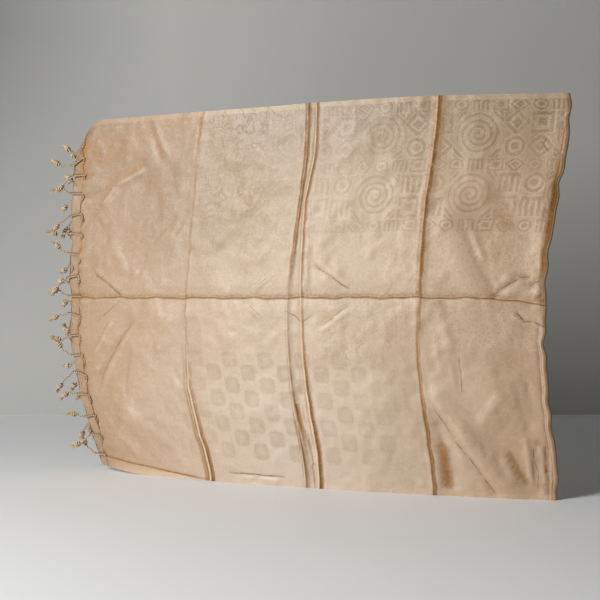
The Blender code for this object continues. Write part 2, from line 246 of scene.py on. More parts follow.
# %% How the lines wander and the pinches stand out
WANDER_ENDS = BACK_RUN - 0.12
PINCH_SHARPNESS = 1.3
MIDDLE_WAVES = ((0.0012, 61.0, 0.0), (0.0008, 143.0, 1.0))      # size, waves and start
MIDDLE_PINCH, MIDDLE_PINCH_HALF = 0.0011, 0.0034
LIP, LIP_HALF, LIP_ABOVE = 0.0006, 0.0070, 0.0080       # the soft lip over the middle crease


def wander(run, height):
    """How far the cloth under a straight line of the grid is from it."""
    places = [0.0, *PRESSED_AT.values(), WANDER_ENDS]
    shifts = [0.0 * run, *(up_the_cloth(height, strays) for strays in WANDER.values()), 0.0 * run]
    moved = np.zeros_like(run)
    for n in range(len(places) - 1):
        share = np.clip((run - places[n]) / (places[n + 1] - places[n]), 0.0, 1.0)
        inside = (run >= places[n]) & (run < places[n + 1])
        moved = np.where(inside, mix(shifts[n], shifts[n + 1], ease(share)), moved)
    return moved


def middle_line(run, height):
    """The narrow crease along the middle, which wavers by a millimetre or two."""
    return height - MIDDLE - sum(size * np.sin(run * waves + start) for size, waves, start in MIDDLE_WAVES)


def shared_relief(run, height):
    """The fine relief that both leaves have."""
    relief = np.zeros_like(run)
    for crease, *lengths in PINCHES:
        beside_it, half_width, *sizes = (length / 1000 for length in lengths)
        place = PRESSED_AT[crease] + beside_it
        relief += up_the_cloth(height, sizes) * tent(run - place, half_width, PINCH_SHARPNESS)
    for place, half_width, *sizes in EDGE_PINCHES:
        relief += up_the_cloth(height, sizes) * tent(run - place, half_width, PINCH_SHARPNESS)
    across = middle_line(run, height)
    relief -= MIDDLE_PINCH * tent(across, MIDDLE_PINCH_HALF, PINCH_SHARPNESS)
    relief += LIP * tent(across - LIP_ABOVE, LIP_HALF)
    width = up_the_cloth(height, ROLL_WIDTH)
    relief -= up_the_cloth(height, ROLL_DEPTH) * np.clip(1 - run / width, 0.0, 1.0) ** 2
    return relief


print("a line strays by at most", max(max(strays) for strays in WANDER.values()), "m")

# %% [markdown]
# The surface between the two leaves is worked out next. The cloth stands in a shallow curve, its
# upright lines bow, the middle crease sags, and the two corners at the fringed end curl away from
# the viewer. The normal comes from neighbouring points, and each leaf is laid a little to its side
# of this surface, so the leaves share every fold and never cut through each other.

# %% How the sheet bows and its corners curl
CORNER_CURLS = (
    # height, upward, reach, radius
    (WIDTH, 1, 0.078, 0.050),
    (0.0, -1, 0.095, 0.100),
)
RAGGED, RAGGED_REACH = 0.0030, 0.035         # the fold's edge isn't quite straight
DROOP, DROOP_REACH, DROOP_BAND = 0.036, 0.075, 0.150    # of the upper corner at the fringe
DIAGONAL = math.sqrt(0.5)
NORMAL_STEP = 0.003


def bow(run, height):
    """How far right of the middle crease an upright line stands."""
    share = np.clip(run, 0.0, None) / BACK_RUN
    away = np.clip(np.abs(height - MIDDLE) / MIDDLE, 0.0, 1.0)
    above = height > MIDDLE
    size = np.where(above, mix(*BOW_TOP, share), mix(*BOW_BOTTOM, share ** 1.8))
    away = np.where(above, away, away ** 1.45)
    return size * (1 - np.cos(math.pi * away)) / 2


def curl_corners(x, z, corner_x):
    """Bends the corners of the fringed end back, and gives the depth that they gain."""
    depth = np.zeros_like(x)
    for corner_z, upward, reach, radius in CORNER_CURLS:
        past = np.clip(((corner_x - x) + (z - corner_z) * upward + reach) * DIAGONAL, 0.0, None)
        angle = past / radius
        moved = (past - radius * np.sin(angle)) * DIAGONAL
        x = x + moved
        z = z - moved * upward
        depth = depth + radius * (1 - np.cos(angle))
    return x, z, depth


print("the sheet's upright lines bow by up to", max(BOW_TOP + BOW_BOTTOM), "m")


# %% A place on the sheet and its normal
def sheet_point(line, height, fine=True):
    """The surface between the leaves, as rows of x, y, z, for a line of the grid and a height."""
    line, height = np.broadcast_arrays(np.asarray(line, float), np.asarray(height, float))
    level = np.maximum(height, FOOT)
    run = line + wander(line, level)
    ragged = RAGGED * (1 + np.sin(118.0 * level)) * (0.5 + 0.5 * np.sin(47.0 * level + 1.0))
    x = FOLD_X - run + bow(run, level) - ragged * np.clip(1 - run / RAGGED_REACH, 0.0, 1.0) ** 2
    x, z, depth = curl_corners(x, height, FOLD_X - BACK_RUN + bow(np.full_like(run, BACK_RUN), level))
    z = z + CROWN * (height / WIDTH) * np.exp(-((x - CROWN_X) / CROWN_HALF) ** 2)
    droop = np.clip(run - BACK_RUN + DROOP_REACH, 0.0, None) / DROOP_REACH
    z = z - DROOP * droop ** 2 * ease((height - WIDTH + DROOP_BAND) / DROOP_BAND)
    sag = VALLEY_SAG + FOLD_SAG * np.clip(1 - run / FOLD_SAG_REACH, 0.0, None) ** 2
    z = z - sag * ease(1 - np.abs(height - MIDDLE) / SAG_SPREAD)
    out = broad_relief(line, level) + (shared_relief(line, level) if fine else 0.0)
    y = PLAN_FRONT_Y + PLAN_CURVE * (x - PLAN_CENTRE_X) ** 2 + TOP_LEAN * level / WIDTH + depth - out
    return np.stack([x, y, z], axis=-1)


def sheet_normal(run, height):
    """Unit normal of the smooth surface, towards the viewer."""
    across = sheet_point(run + NORMAL_STEP, height, False) - sheet_point(run - NORMAL_STEP, height, False)
    low = np.maximum(height - NORMAL_STEP, 0.0)
    up = sheet_point(run, height + NORMAL_STEP, False) - sheet_point(run, low, False)
    normal = np.cross(up, across)
    return normal / np.linalg.norm(normal, axis=-1, keepdims=True)


print("the middle of the sheet is at", sheet_point(BACK_RUN / 2, MIDDLE).round(4))

# %% [markdown]
# Silk that has been folded away keeps small diagonal wrinkles where two creases cross, and slack
# ones towards the corners. They are listed, one row of a table each, as lines along which the
# leaf stands a little in or out. The hidden back leaf gets a set of its own.

# %% Wrinkles of the front leaf
FRONT_WRINKLES = in_metres((
    # run a, height a, run b, height b, out, half width, in millimetres
    (905, 398, 836, 354, -1.2, 6),
    (900, 406, 842, 366, 1, 7),
    (842, 341, 900, 300, -0.8, 5.5),
    (500, 396, 538, 366, 1, 6),
    (418, 408, 348, 364, -1, 5.5),
    (414, 414, 352, 374, 0.6, 7),
    (348, 337, 410, 295, -1, 5.5),
    (352, 329, 406, 291, 0.6, 6.5),
    (474, 327, 440, 306, -0.8, 4.5),
    (440, 306, 420, 318, -0.8, 4.5),
    (549, 340, 519, 313, 0.8, 6),
    (92, 352, 79, 367, -1.2, 5.5),
    (79, 367, 45, 391, -1.2, 5.5),
    (45, 391, 27, 395, -1, 5),
    (90, 362, 60, 392, 0.9, 7),
    (70, 360, 40, 376, 0.9, 6),
    (30, 378, 8, 391, -1.2, 5.5),
    (22, 366, 6, 376, 1.4, 5.5),
    (52, 330, 36, 317, -1.2, 5),
    (36, 317, 20, 319, -1, 5),
    (20, 319, 3, 312, -1, 5),
    (56, 324, 34, 309, 1.2, 6),
    (938, 590, 874, 583, -1, 8),
    (874, 583, 797, 610, -2.2, 11),
    (862, 572, 800, 594, 1.6, 10),
    (906, 540, 878, 567, -2.4, 10),
    (892, 534, 866, 562, 1.4, 9),
    (794, 694, 764, 629, -1.2, 8),
    (764, 629, 732, 580, -1.4, 8),
    (784, 690, 752, 624, 1.2, 8),
    (882, 569, 824, 592, -1.2, 8),
    (720, 501, 756, 466, -1.2, 6),
    (700, 492, 716, 467, -1.2, 5),
    (803, 449, 839, 437, -1.2, 6),
    (899, 502, 874, 460, -1.2, 6),
    (775, 425, 799, 384, -1, 6),
    (907, 624, 890, 602, -1.4, 5),
    (932, 654, 908, 668, -1.4, 6),
    (859, 302, 905, 235, 1, 6),
    (758, 257, 758, 221, -1.2, 4.5),
    (818, 297, 922, 163, -2, 7.5),
    (806, 290, 905, 160, 1.4, 10),
    (816, 236, 841, 157, -2, 6.5),
    (760, 165, 730, 118, -1.4, 6.5),
    (930, 150, 865, 60, -1.4, 10),
    (915, 120, 850, 40, 1.6, 9),
    (880, 110, 800, 30, -1.4, 10),
    (154, 476, 124, 416, -2.2, 10),
    (124, 416, 88, 357, -2, 9),
    (146, 480, 112, 414, 1.6, 9),
    (100, 494, 34, 443, -2.2, 12),
    (540, 436, 500, 520, -1.2, 9),
    (350, 500, 290, 560, -1.6, 12),
    (360, 488, 300, 545, 1, 10),
    (207, 160, 173, 98, -1.4, 7.5),
    (173, 98, 137, 48, -1.6, 7.5),
    (137, 48, 108, 4, -1.6, 8),
    (196, 166, 126, 52, 0.7, 8),
    (151, 260, 149, 176, -1.2, 6.5),
    (272, 114, 311, 30, -1.2, 8),
    (36, 202, 32, 150, -1.6, 5),
    (44, 134, 51, 115, -1.4, 5),
    (38, 90, 39, 68, -1.8, 6),
    (39, 68, 34, 16, -1.8, 6),
    (50, 104, 47, 30, 1.8, 6.5),
    (17, 98, 19, 50, -2, 5),
    (26, 90, 24, 30, 1.4, 5),
    (122, 97, 118, 74, -1.4, 5),
    (79, 78, 68, 48, -2, 7),
    (68, 48, 56, 30, -2, 7),
    (90, 72, 76, 30, 1.6, 8),
    (70, 140, 110, 100, -1.6, 10),
    (80, 180, 120, 130, 1.2, 11),
    (180, 330, 160, 260, 1, 10),
    (204, 300, 190, 220, -1, 8),
    (462, 150, 455, 10, -2, 3.8),
    (470, 120, 463, 20, -1.6, 3.6),
    (452, 170, 449, 50, 1.2, 3.6),
    (424, 440, 424, 356, -1, 4),
    (632, 19, 512, 17, -1, 3.4),
    (628, 13, 520, 11, 0.2, 6),
    (800, 470, 770, 400, -1, 11),
    (850, 440, 832, 400, 0.3, 9),
    (720, 240, 700, 190, -1, 6),
    (958, 560, 925, 500, -1.2, 10),
    (930, 660, 900, 610, -1.4, 8),
    (918, 668, 890, 630, 1.2, 7),
))
print(len(FRONT_WRINKLES), "wrinkles on the front leaf")

# %% Wrinkles of the back leaf
BACK_WRINKLES = in_metres((
    # run a, height a, run b, height b, out, half width, in millimetres
    (900, 390, 838, 356, 1.2, 7),
    (845, 342, 905, 290, 1.2, 7),
    (700, 380, 740, 440, 1.4, 8),
    (650, 330, 600, 280, -0.8, 6),
    (500, 392, 545, 362, 1.2, 7),
    (420, 400, 350, 362, 1.4, 7),
    (345, 338, 405, 300, 1.4, 7),
    (250, 400, 300, 460, 1.2, 8),
    (180, 330, 120, 280, 1.4, 8),
    (95, 352, 40, 396, 1.8, 7),
    (60, 330, 15, 300, 1.8, 7),
    (860, 600, 780, 560, 1.8, 11),
    (780, 200, 730, 110, 1.6, 10),
    (910, 180, 850, 60, 1.8, 10),
    (620, 200, 560, 100, 1.2, 12),
    (400, 180, 330, 60, 1.4, 11),
    (200, 150, 110, 10, 1.8, 8),
    (90, 110, 60, 20, 2, 8),
    (50, 120, 30, 30, 1.8, 6.5),
    (150, 500, 90, 400, 1.8, 11),
    (330, 620, 290, 520, 1.4, 12),
    (590, 640, 540, 540, 1.2, 12),
    (460, 160, 455, 20, 1.4, 4),
))
print(len(BACK_WRINKLES), "wrinkles on the back leaf")

# %% How far a leaf stands out by its own wrinkles
DEEPEST = 0.0007             # a leaf's own hollows go no deeper, or it would touch the other leaf
WRINKLE_HEIGHT, WRINKLE_WIDTH = 1.7, 1.5     # the tables' sizes are raised and widened by these
GATHERS, GATHER_PITCH, GATHER_REACH = 0.0008, 0.0270, 0.060     # at the fringed edge
SWELLS = in_metres(((170, .50), (110, .34), (74, .22), (47, .20), (31, .15), (21, .11)))


def small_swell(run, height, seed):
    """The uneven lie of soft cloth: slow swells in several directions."""
    swell = np.zeros_like(run)
    for n, (length, size) in enumerate(SWELLS):
        for turn in (0.35, 1.45, 2.55):
            angle = turn + 0.7 * n + seed
            across = run * math.cos(angle) + height * math.sin(angle)
            along = height * math.cos(angle) - run * math.sin(angle)
            bend = 0.8 * np.sin(along / length * 2.1 + 3.0 * n + seed)
            swell += size * np.sin(across / length * 2 * math.pi + bend + 1.7 * n + turn * 5)
    return swell


def wrinkles(side, run, height, widen):
    """The wrinkles that are laid in by hand, as far out as the tables say."""
    relief = np.zeros_like(run)
    for *ends, out, half in FRONT_WRINKLES if side == FRONT else BACK_WRINKLES:
        distance, share = beside(run, height, *ends)
        fade = ease(share * 3.0 + 0.6) * ease((1.0 - share) * 3.0 + 0.6)
        relief += out * fade * ease(tent(distance, half * widen, 1.0))
    return relief


def leaf_relief(side, run, height):
    """How far a leaf stands out from its place, by its own wrinkles."""
    relief = small_swell(run, height, 0.0 if side == FRONT else 2.1)
    relief += WRINKLE_HEIGHT * wrinkles(side, run, height, WRINKLE_WIDTH)
    gathered = ease((run - END_RUN[side] + GATHER_REACH) / GATHER_REACH)
    ripple = 2 * math.pi * height / GATHER_PITCH + 2.2 * np.sin(31.0 * height) + 40.0 * run
    relief += GATHERS * gathered * np.sin(ripple)
    relief *= ease((run - FOLD_RADIUS) / 0.010)
    return np.where(relief < 0, DEEPEST * np.tanh(relief / DEEPEST), relief)


print("hollows of a leaf's own go no deeper than", DEEPEST, "m")

# %% [markdown]
# Each leaf is a grid primitive whose corners are moved to their computed places. The lines of the
# grid are close together at the creases, where the shape turns sharply, and wide apart between
# them, so the mesh stays light. Near the fringe the lower hem lifts off the floor, more on the
# front leaf than on the back one. The cloth keeps its own run and height as a map, in metres, for
# the weave to follow, and an attribute holds the painted shade and painted highlight of each
# place, for the finish.

# %% Lines of the grid
def spread(stops, step):
    """Even places between the stops, none further apart than the step at that stop."""
    places = [stops[0]]
    for stop, gap in zip(stops[1:], step):
        count = max(1, math.ceil((stop - places[-1]) / gap - 1e-6))
        places += list(np.linspace(places[-1], stop, count + 1)[1:])
    return np.array(places)


def run_lines(start, end):
    """Close lines at the upright creases and near the fold, wider ones between."""
    stops, gaps = [start, 0.016], [0.0016]
    for crease, place in PRESSED_AT.items():
        if crease != "pleat left":
            stops.append(place - 0.016)
            gaps.append(0.0044)
        stops += [place - 0.008, place + 0.008]
        gaps += [0.0026, 0.0013]
        if crease != "pleat right":
            stops.append(place + 0.016)
            gaps.append(0.0026)
    return spread([*stops, end - 0.012, end], [*gaps, 0.0044, 0.0028])


def height_lines():
    stops = [0.0, FOOT, 0.022, MIDDLE - 0.016, MIDDLE - 0.006, MIDDLE + 0.006, MIDDLE + 0.016,
             WIDTH - 0.012, WIDTH]
    return spread(stops, [0.0027, 0.0030, 0.0046, 0.0026, 0.0013, 0.0026, 0.0046, 0.0028])


rows = height_lines()
print(len(run_lines(0.0, FRONT_RUN)), "lines along the run and", len(rows), "up the cloth")

# %% The two leaves and the fold
HEM_LIFTS = {                # from which run the lower hem lifts, how high and how bent
    FRONT: (0.660, 0.031, 1.2),
    BACK: (0.830, 0.009, 1.3),
}


def edge_wave(height):
    return (0.0022 * np.sin(2 * math.pi * height / 0.130 + 1.0)
            + 0.0012 * np.sin(2 * math.pi * height / 0.047 + 0.4))


def half_gap(run):
    return mix(LEAF_GAP / 2, FOLD_RADIUS, ease((FOLD_EASE - run) / (FOLD_EASE - FOLD_RADIUS)))


def hem_level(side, run, height):
    """Height up the cloth: near the fringe no row lies below the lifted hem."""
    start, lift, power = HEM_LIFTS[side]
    share = np.clip((run - start) / (END_RUN[side] - start), 0.0, None)
    return np.maximum(height, lift * share ** power + 0.1 * height)


def leaf_point(side, line, height):
    """Place of a leaf's cloth, and its own run and height."""
    line, height = np.broadcast_arrays(np.asarray(line, float), np.asarray(height, float))
    level = hem_level(side, line, height)
    line = line + edge_wave(level) * ease((line - FRONT_RUN + GATHER_REACH) / GATHER_REACH)
    place = sheet_point(line, level) + sheet_normal(line, level) * side * (
        half_gap(line) + leaf_relief(side, line, level))[..., None]
    return place, line + wander(line, level), level


def fold_point(turn, height):
    """Place round the half turn of the fold, from turn 0 at the front to pi at the back."""
    line = np.full_like(height, FOLD_RADIUS)
    normal = sheet_normal(line, height)
    outward = np.cross(np.array([0.0, 0.0, 1.0]), normal)
    outward /= np.linalg.norm(outward, axis=-1, keepdims=True)
    outward *= np.sign(outward[..., :1])
    offset = outward * np.sin(turn)[..., None] + normal * np.cos(turn)[..., None]
    return sheet_point(line, height) + offset * FOLD_RADIUS


print("the lower hem lifts by", [lift for _, lift, _ in HEM_LIFTS.values()], "m at the ends")

# %% [markdown]
# Each crease's shading is painted into the colour: painted shade, warm brown, in its valley, a
# painted highlight, paler, on its crest, and soft patches of painted shade where the broad folds
# turn from the light. All of that is one number at each corner of the mesh, above 0 for painted
# shade and below 0 for painted highlight, made of how hollow the shape is there and of two
# tables. It could be painted by hand, but a table row can be moved with its crease.

# %% Painted shade and highlight of the creases
PAINTED_CREASE_SHADES = {
    # beside the crease and half width, in millimetres, and how much painted shade (above 0) or
    # painted highlight (below 0) at even heights from the lower selvedge to the upper one
    "third": (
        (-1, 5.2, (.9, .8, .62, .48, .3, .3, .3, .3, .3)),
        (-3, 3.6, (0, 0, 0, 0, .2, .6, .7, .84, .98)),
        (-6, 2, (-.3, -.35, -.3, -.2, 0, .16, .2, .2, .2)),
        (1.2, 2, (0, 0, 0, 0, .1, .26, .3, .32, .34)),
        (4.8, 1.8, (.12, .14, .12, .1, .2, .46, .5, .5, .46)),
        (10.5, 4, (.08, .06, .06, .04, 0, .08, .1, .12, .1)),
        (-9, 8, (0, 0, 0, 0, 0, .22, .28, .34, .4)),
    ),
    "pleat left": (
        (0, 3.6, (.36, .4, .36, .26, .15, .66, .86, .9, .86)),
        (-5, 4.8, (.2, .24, .14, .06, 0, .2, .28, .3, .26)),
        (-15, 1.8, (.4, .4, .24, .1, 0, 0, 0, 0, 0)),
        (-3.4, 2.6, (0, 0, 0, 0, 0, .3, .5, .55, .5)),
        (9, 1.4, (0, 0, 0, 0, 0, .12, .26, .3, .26)),
        (15, 1.4, (0, 0, 0, 0, 0, 0, .16, .22, .2)),
        (-11, 2.4, (0, -.1, -.1, 0, 0, -.2, -.26, -.26, -.24)),
    ),
    "pleat right": (
        (-3, 3.6, (.78, .78, .68, .46, .34, .5, .56, .56, .56)),
        (1.4, 2.2, (-.45, -.45, -.35, -.2, -.1, -.14, -.14, -.14, -.14)),
        (-7.5, 4.5, (.36, .28, .12, .05, 0, 0, 0, 0, 0)),
        (-13, 1.6, (0, 0, 0, 0, .26, .4, .34, .1, 0)),
    ),
    "first": (
        (0, 2.6, (-.3, -.2, -.12, .4, .4, .48, .54, .56, .56)),
        (4.6, 2.6, (.2, .26, .24, .16, 0, -.16, -.2, -.24, -.24)),
        (-4.8, 5, (1, .55, .34, .12, 0, 0, 0, 0, 0)),
        (9.2, 7, (.4, .34, .2, .05, 0, 0, 0, 0, 0)),
    ),
    "fold": (
        (6, 10, (0, 0, 0, 0, .05, .5, .72, .1, 0)),
        (0, 4.5, (.3, .3, .34, .3, .36, .6, .7, .55, .34)),
        (9, 1.6, (.5, .55, .3, .55, .1, .4, .45, .5, .3)),
        (16, 1.4, (.3, .2, 0, .4, 0, 0, 0, .2, .2)),
    ),
    "front end": (
        (0, 2.6, (.4,)),
        (3, 5, (.12,)),
        (13, 24, (.05,)),
        (-6, 6, (.08, .05, .08, .05, .08, .05, .08, .12, .14)),
    ),
    "back end": (
        (-10, 40, (.14, .14, .14, .14, .12, .12, .12, .12, .16)),
    ),
}
SHADE_PAINTED_AT = {**PRESSED_AT, "fold": 0.0, "front end": FRONT_RUN, "back end": BACK_RUN}
print("toned creases:", {name: len(PAINTED_CREASE_SHADES[name]) for name in SHADE_PAINTED_AT})

# %% Painted shade of broad folds
FOLD_SHADE_PATCHES = (
    # run a, height a, run b, height b and half width, in millimetres, and how much painted shade
    ((920, 630, 700, 675, 90), .28),
    ((433, 582, 390, 578, 12), .16),
    ((395, 580, 345, 604, 10), .18),
    ((115, 540, 78, 486, 32), .3),
    ((72, 660, 50, 570, 34), .22),
    ((860, 585, 930, 540, 12), .12),
    ((300, 75, 262, 10, 22), .1),
    ((905, 330, 840, 250, 16), .08),
    ((820, 230, 890, 90, 14), .08),
    ((180, 150, 70, 20, 18), .1),
    ((79, 80, 56, 28, 11), .34),
    ((105, 70, 100, 40, 8), .16),
    ((146, 130, 128, 92, 10), .16),
    ((30, 100, 22, 16, 12), .34),
    ((60, 200, 48, 120, 10), .16),
    ((40, 395, 10, 360, 14), .26),
    ((194.5, 80, 195, 22, 19), .6),
    ((201, 128, 196.5, 90, 11), .26),
)
print(len(FOLD_SHADE_PATCHES), "smudges")


# %% How much painted shade or highlight each place gets
def outward_relief(side, line, level):
    shared = broad_relief(line, level) + shared_relief(line, level)
    return side * shared + leaf_relief(side, line, level)


def hollowness(side, line, level, reach=0.0022):
    """Above 0 where the shape is sunk and below 0 on a crest, in millimetres."""
    around = sum(outward_relief(side, line + a, level + b)
                 for a, b in ((reach, 0.0), (-reach, 0.0), (0.0, reach), (0.0, -reach)))
    return (around / 4 - outward_relief(side, line, level)) * 1000


# The middle crease gets painted shade: a thin line, a soft band above it and a scalloped edge.
SCALLOPED_MIDDLE = ((0.0024, 0.0145), (0.0010, 0.0345))     # size and pitch of its brown edge


def painted_crease_shading(line, level):
    """Painted shade in each pressed valley, the fold's roll, the fold patches and the middle crease, and
    painted highlights.
    """
    rolled = line - 0.92 * up_the_cloth(level, ROLL_WIDTH)
    tone = up_the_cloth(level, ROLL_DEPTH) * 60.0 * tent(rolled, 0.0034, 1.0) * (level > MIDDLE)
    wavering = line + 0.0006 * np.sin(level * 130.0) + 0.0002 * np.sin(level * 410.0 + 1.0)
    for crease, rows_of_tone in PAINTED_CREASE_SHADES.items():
        for beside_it, half_width, browns in rows_of_tone:
            across = wavering - SHADE_PAINTED_AT[crease] - beside_it / 1000
            shape = np.clip(1.9 * tent(across, half_width / 1000, 1.0), 0, 1)
            tone += up_the_cloth(level, browns) * shape
    for lengths, brown in FOLD_SHADE_PATCHES:
        *ends, half_width = (length / 1000 for length in lengths)
        distance, _ = beside(line, level, *ends)
        tone += brown * ease(tent(distance, half_width, 1.0))
    across = middle_line(line, level)
    scallop = sum(size * np.sin(line * 2 * math.pi / pitch) for size, pitch in SCALLOPED_MIDDLE)
    tone += 0.46 * tent(across, 0.0030, 1.0) + 0.16 * tent(across - 0.0060, 0.0080, 1.0)
    tone += 0.26 * tent(across - 0.0066 - scallop, 0.0024, 1.0)
    return tone + 0.10 * tent(across + 0.0100, 0.0100, 1.0)


print("brown in the fold's edge, half way up:", painted_crease_shading(np.array(0.0), np.array(MIDDLE)).round(2))


# %% A leaf from a grid primitive
SMOOTH_UNDER = math.radians(62)     # faces that meet at less than this are shaded as one


def cloth_from_grid(name, places, cut, painted_shading):
    """A grid primitive with its corners moved to the places, walled, with its cut as a map."""
    across, up = places.shape[0] - 1, places.shape[1] - 1
    bpy.ops.object.select_all(action="DESELECT")
    bpy.ops.mesh.primitive_grid_add(x_subdivisions=across, y_subdivisions=up, size=1.0)
    piece = bpy.context.object
    piece.name = piece.data.name = name
    mesh = piece.data
    corners = np.empty(len(mesh.vertices) * 3)
    mesh.vertices.foreach_get("co", corners)
    corners = corners.reshape(-1, 3)
    column = np.rint((corners[:, 0] + 0.5) * across).astype(int)
    row = np.rint((corners[:, 1] + 0.5) * up).astype(int)
    mesh.vertices.foreach_set("co", places[column, row].ravel())
    vertex_of_loop = np.empty(len(mesh.loops), dtype=int)
    mesh.loops.foreach_get("vertex_index", vertex_of_loop)
    mesh.uv_layers[0].name = "cut"
    mesh.uv_layers["cut"].data.foreach_set("uv", cut[column, row][vertex_of_loop].ravel())
    mesh.attributes.new("painted_shading", "FLOAT", "POINT").data.foreach_set("value", painted_shading[column, row])
    mesh.update()
    for _ in range(2):
        mesh.materials.append(None)
    wall = piece.modifiers.new("Cloth", "SOLIDIFY")
    wall.thickness = CLOTH
    wall.offset = 0.0
    wall.material_offset = 1
    bpy.ops.object.modifier_apply(modifier="Cloth")
    bpy.ops.object.shade_smooth_by_angle(angle=SMOOTH_UNDER)
    triangles = sum(len(face.vertices) - 2 for face in mesh.polygons)
    print(name, "has", triangles, "triangles")
    return piece


print("a leaf's shell is", CLOTH, "m thick")

# %% Places and painted shading of a leaf's grid
# Painted shadow under the lifted hem of each leaf, and a paler band where the back leaf's hem shows.
HEM_SHADOW = {FRONT: 0.85, BACK: 0.30}     # how brown the cloth is along its lifted hem
HEM_PALE_BAND = 0.40            # the back leaf's hem is pale where it shows under the front one
# Painted shade in a wrinkle's trough and painted highlight on its ridge.
WRINKLE_SHADE_PAINT = 110.0         # how brown a wrinkle is for each metre that it goes in


def leaf_grid(side, start):
    line, height = np.meshgrid(run_lines(start, END_RUN[side]), rows, indexing="ij")
    places, run, level = leaf_point(side, line, height)
    lifted = hem_level(side, line, 0.0 * line)
    # Painted shadow along the lifted hem; the back leaf's hem is made paler near its fringe.
    hem_shading = HEM_SHADOW[side] * tent(level - lifted, 0.0050, 1.0) * np.clip(lifted / 0.006, 0, 1)
    if side == BACK:
        hem_shading -= HEM_PALE_BAND * tent(level, 0.034, 1.0) * ease((line - 0.70) / 0.05)
    # All of it is painted light: shade and highlight from the shape's hollows, the creases and the
    # wrinkles, and shadow along the lifted hem.
    creased = painted_crease_shading(line, level) - WRINKLE_SHADE_PAINT * wrinkles(side, line, level, 0.95)
    return places, run, level, hollowness(side, line, level) + creased + hem_shading


print("brown under the front and the back hem:", list(HEM_SHADOW.values()))

# %% Build the leaves
FOLD_STEPS = 12
# Painted shade round the fold's half turn.
FOLD_SHADE_PAINT = 0.26
turns, heights = np.meshgrid(np.linspace(math.pi, 0.0, FOLD_STEPS + 1)[:-1], rows, indexing="ij")
places, run, level, painted_shading = leaf_grid(FRONT, FOLD_RADIUS)
places = np.concatenate([fold_point(turns, heights), places])[::-1]
run = np.concatenate([FOLD_RADIUS - turns * FOLD_RADIUS, run])[::-1]
level = np.concatenate([heights, level])[::-1]
painted_shading = np.concatenate([np.full_like(turns, FOLD_SHADE_PAINT), painted_shading])[::-1]
front_leaf = cloth_from_grid("front_leaf", places, np.stack([run, level], -1), painted_shading)

places, run, level, painted_shading = leaf_grid(BACK, FOLD_RADIUS + SEAM_GAP)
cut = np.stack([-run - math.pi * FOLD_RADIUS + 2 * FOLD_RADIUS, level], -1)
back_leaf = cloth_from_grid("back_leaf", places, cut, painted_shading)

# %% [markdown]
# The warp threads that run on past the last weft are divided into bundles, twisted in pairs into
# cords and knotted, and what is left past the knot opens as a small tuft. A hair system could make
# them, but a few tubes that follow a path keep the knots firm and the mesh light. The front
# leaf's cords lie across the strip of the back leaf that shows beyond it.

# %% Path helpers
def smooth_path(points, step):
    """A curve through the points, by Catmull and Rom's rule, with even steps."""
    points = np.asarray(points, float)
    padded = np.vstack([2 * points[0] - points[1], points, 2 * points[-1] - points[-2]])
    curve = []
    for n in range(1, len(padded) - 2):
        a, b, c, d = padded[n - 1:n + 3]
        for t in np.linspace(0.0, 1.0, 12, endpoint=False):
            curve.append(0.5 * (2 * b + (c - a) * t + (2 * a - 5 * b + 4 * c - d) * t ** 2
                                + (3 * b - a - 3 * c + d) * t ** 3))
    curve.append(points[-1])
    curve = np.array(curve)
    along = np.concatenate([[0.0], np.cumsum(np.linalg.norm(np.diff(curve, axis=0), axis=1))])
    even = np.linspace(0.0, along[-1], max(2, round(along[-1] / step)) + 1)
    return np.stack([np.interp(even, along, curve[:, k]) for k in range(3)], axis=1)


def frames(path):
    """Two crossways directions at each point, carried along the path without spinning."""
    ways = np.gradient(path, axis=0)
    ways /= np.linalg.norm(ways, axis=1, keepdims=True)
    first = np.cross(ways[0], [0.0, 0.0, 1.0])
    if np.linalg.norm(first) < 0.1:
        first = np.cross(ways[0], [1.0, 0.0, 0.0])
    across = []
    for way in ways:
        first = first - way * first.dot(way)
        first /= np.linalg.norm(first)
        across.append((first.copy(), np.cross(way, first)))
    return across


def mesh_piece(name, points, faces):
    mesh = bpy.data.meshes.new(name)
    mesh.from_pydata(points, [], faces)
    piece = bpy.data.objects.new(name, mesh)
    bpy.context.scene.collection.objects.link(piece)
    return piece


print("a cord's path has", len(smooth_path([(0, 0, 0), (0, 0, 0.02), (0, 0.01, 0.03)], 0.0012)), "points")

# %% Tubes and twisted cords
ROUND_UNDER = math.radians(75)      # faces that meet at less than this are shaded as one


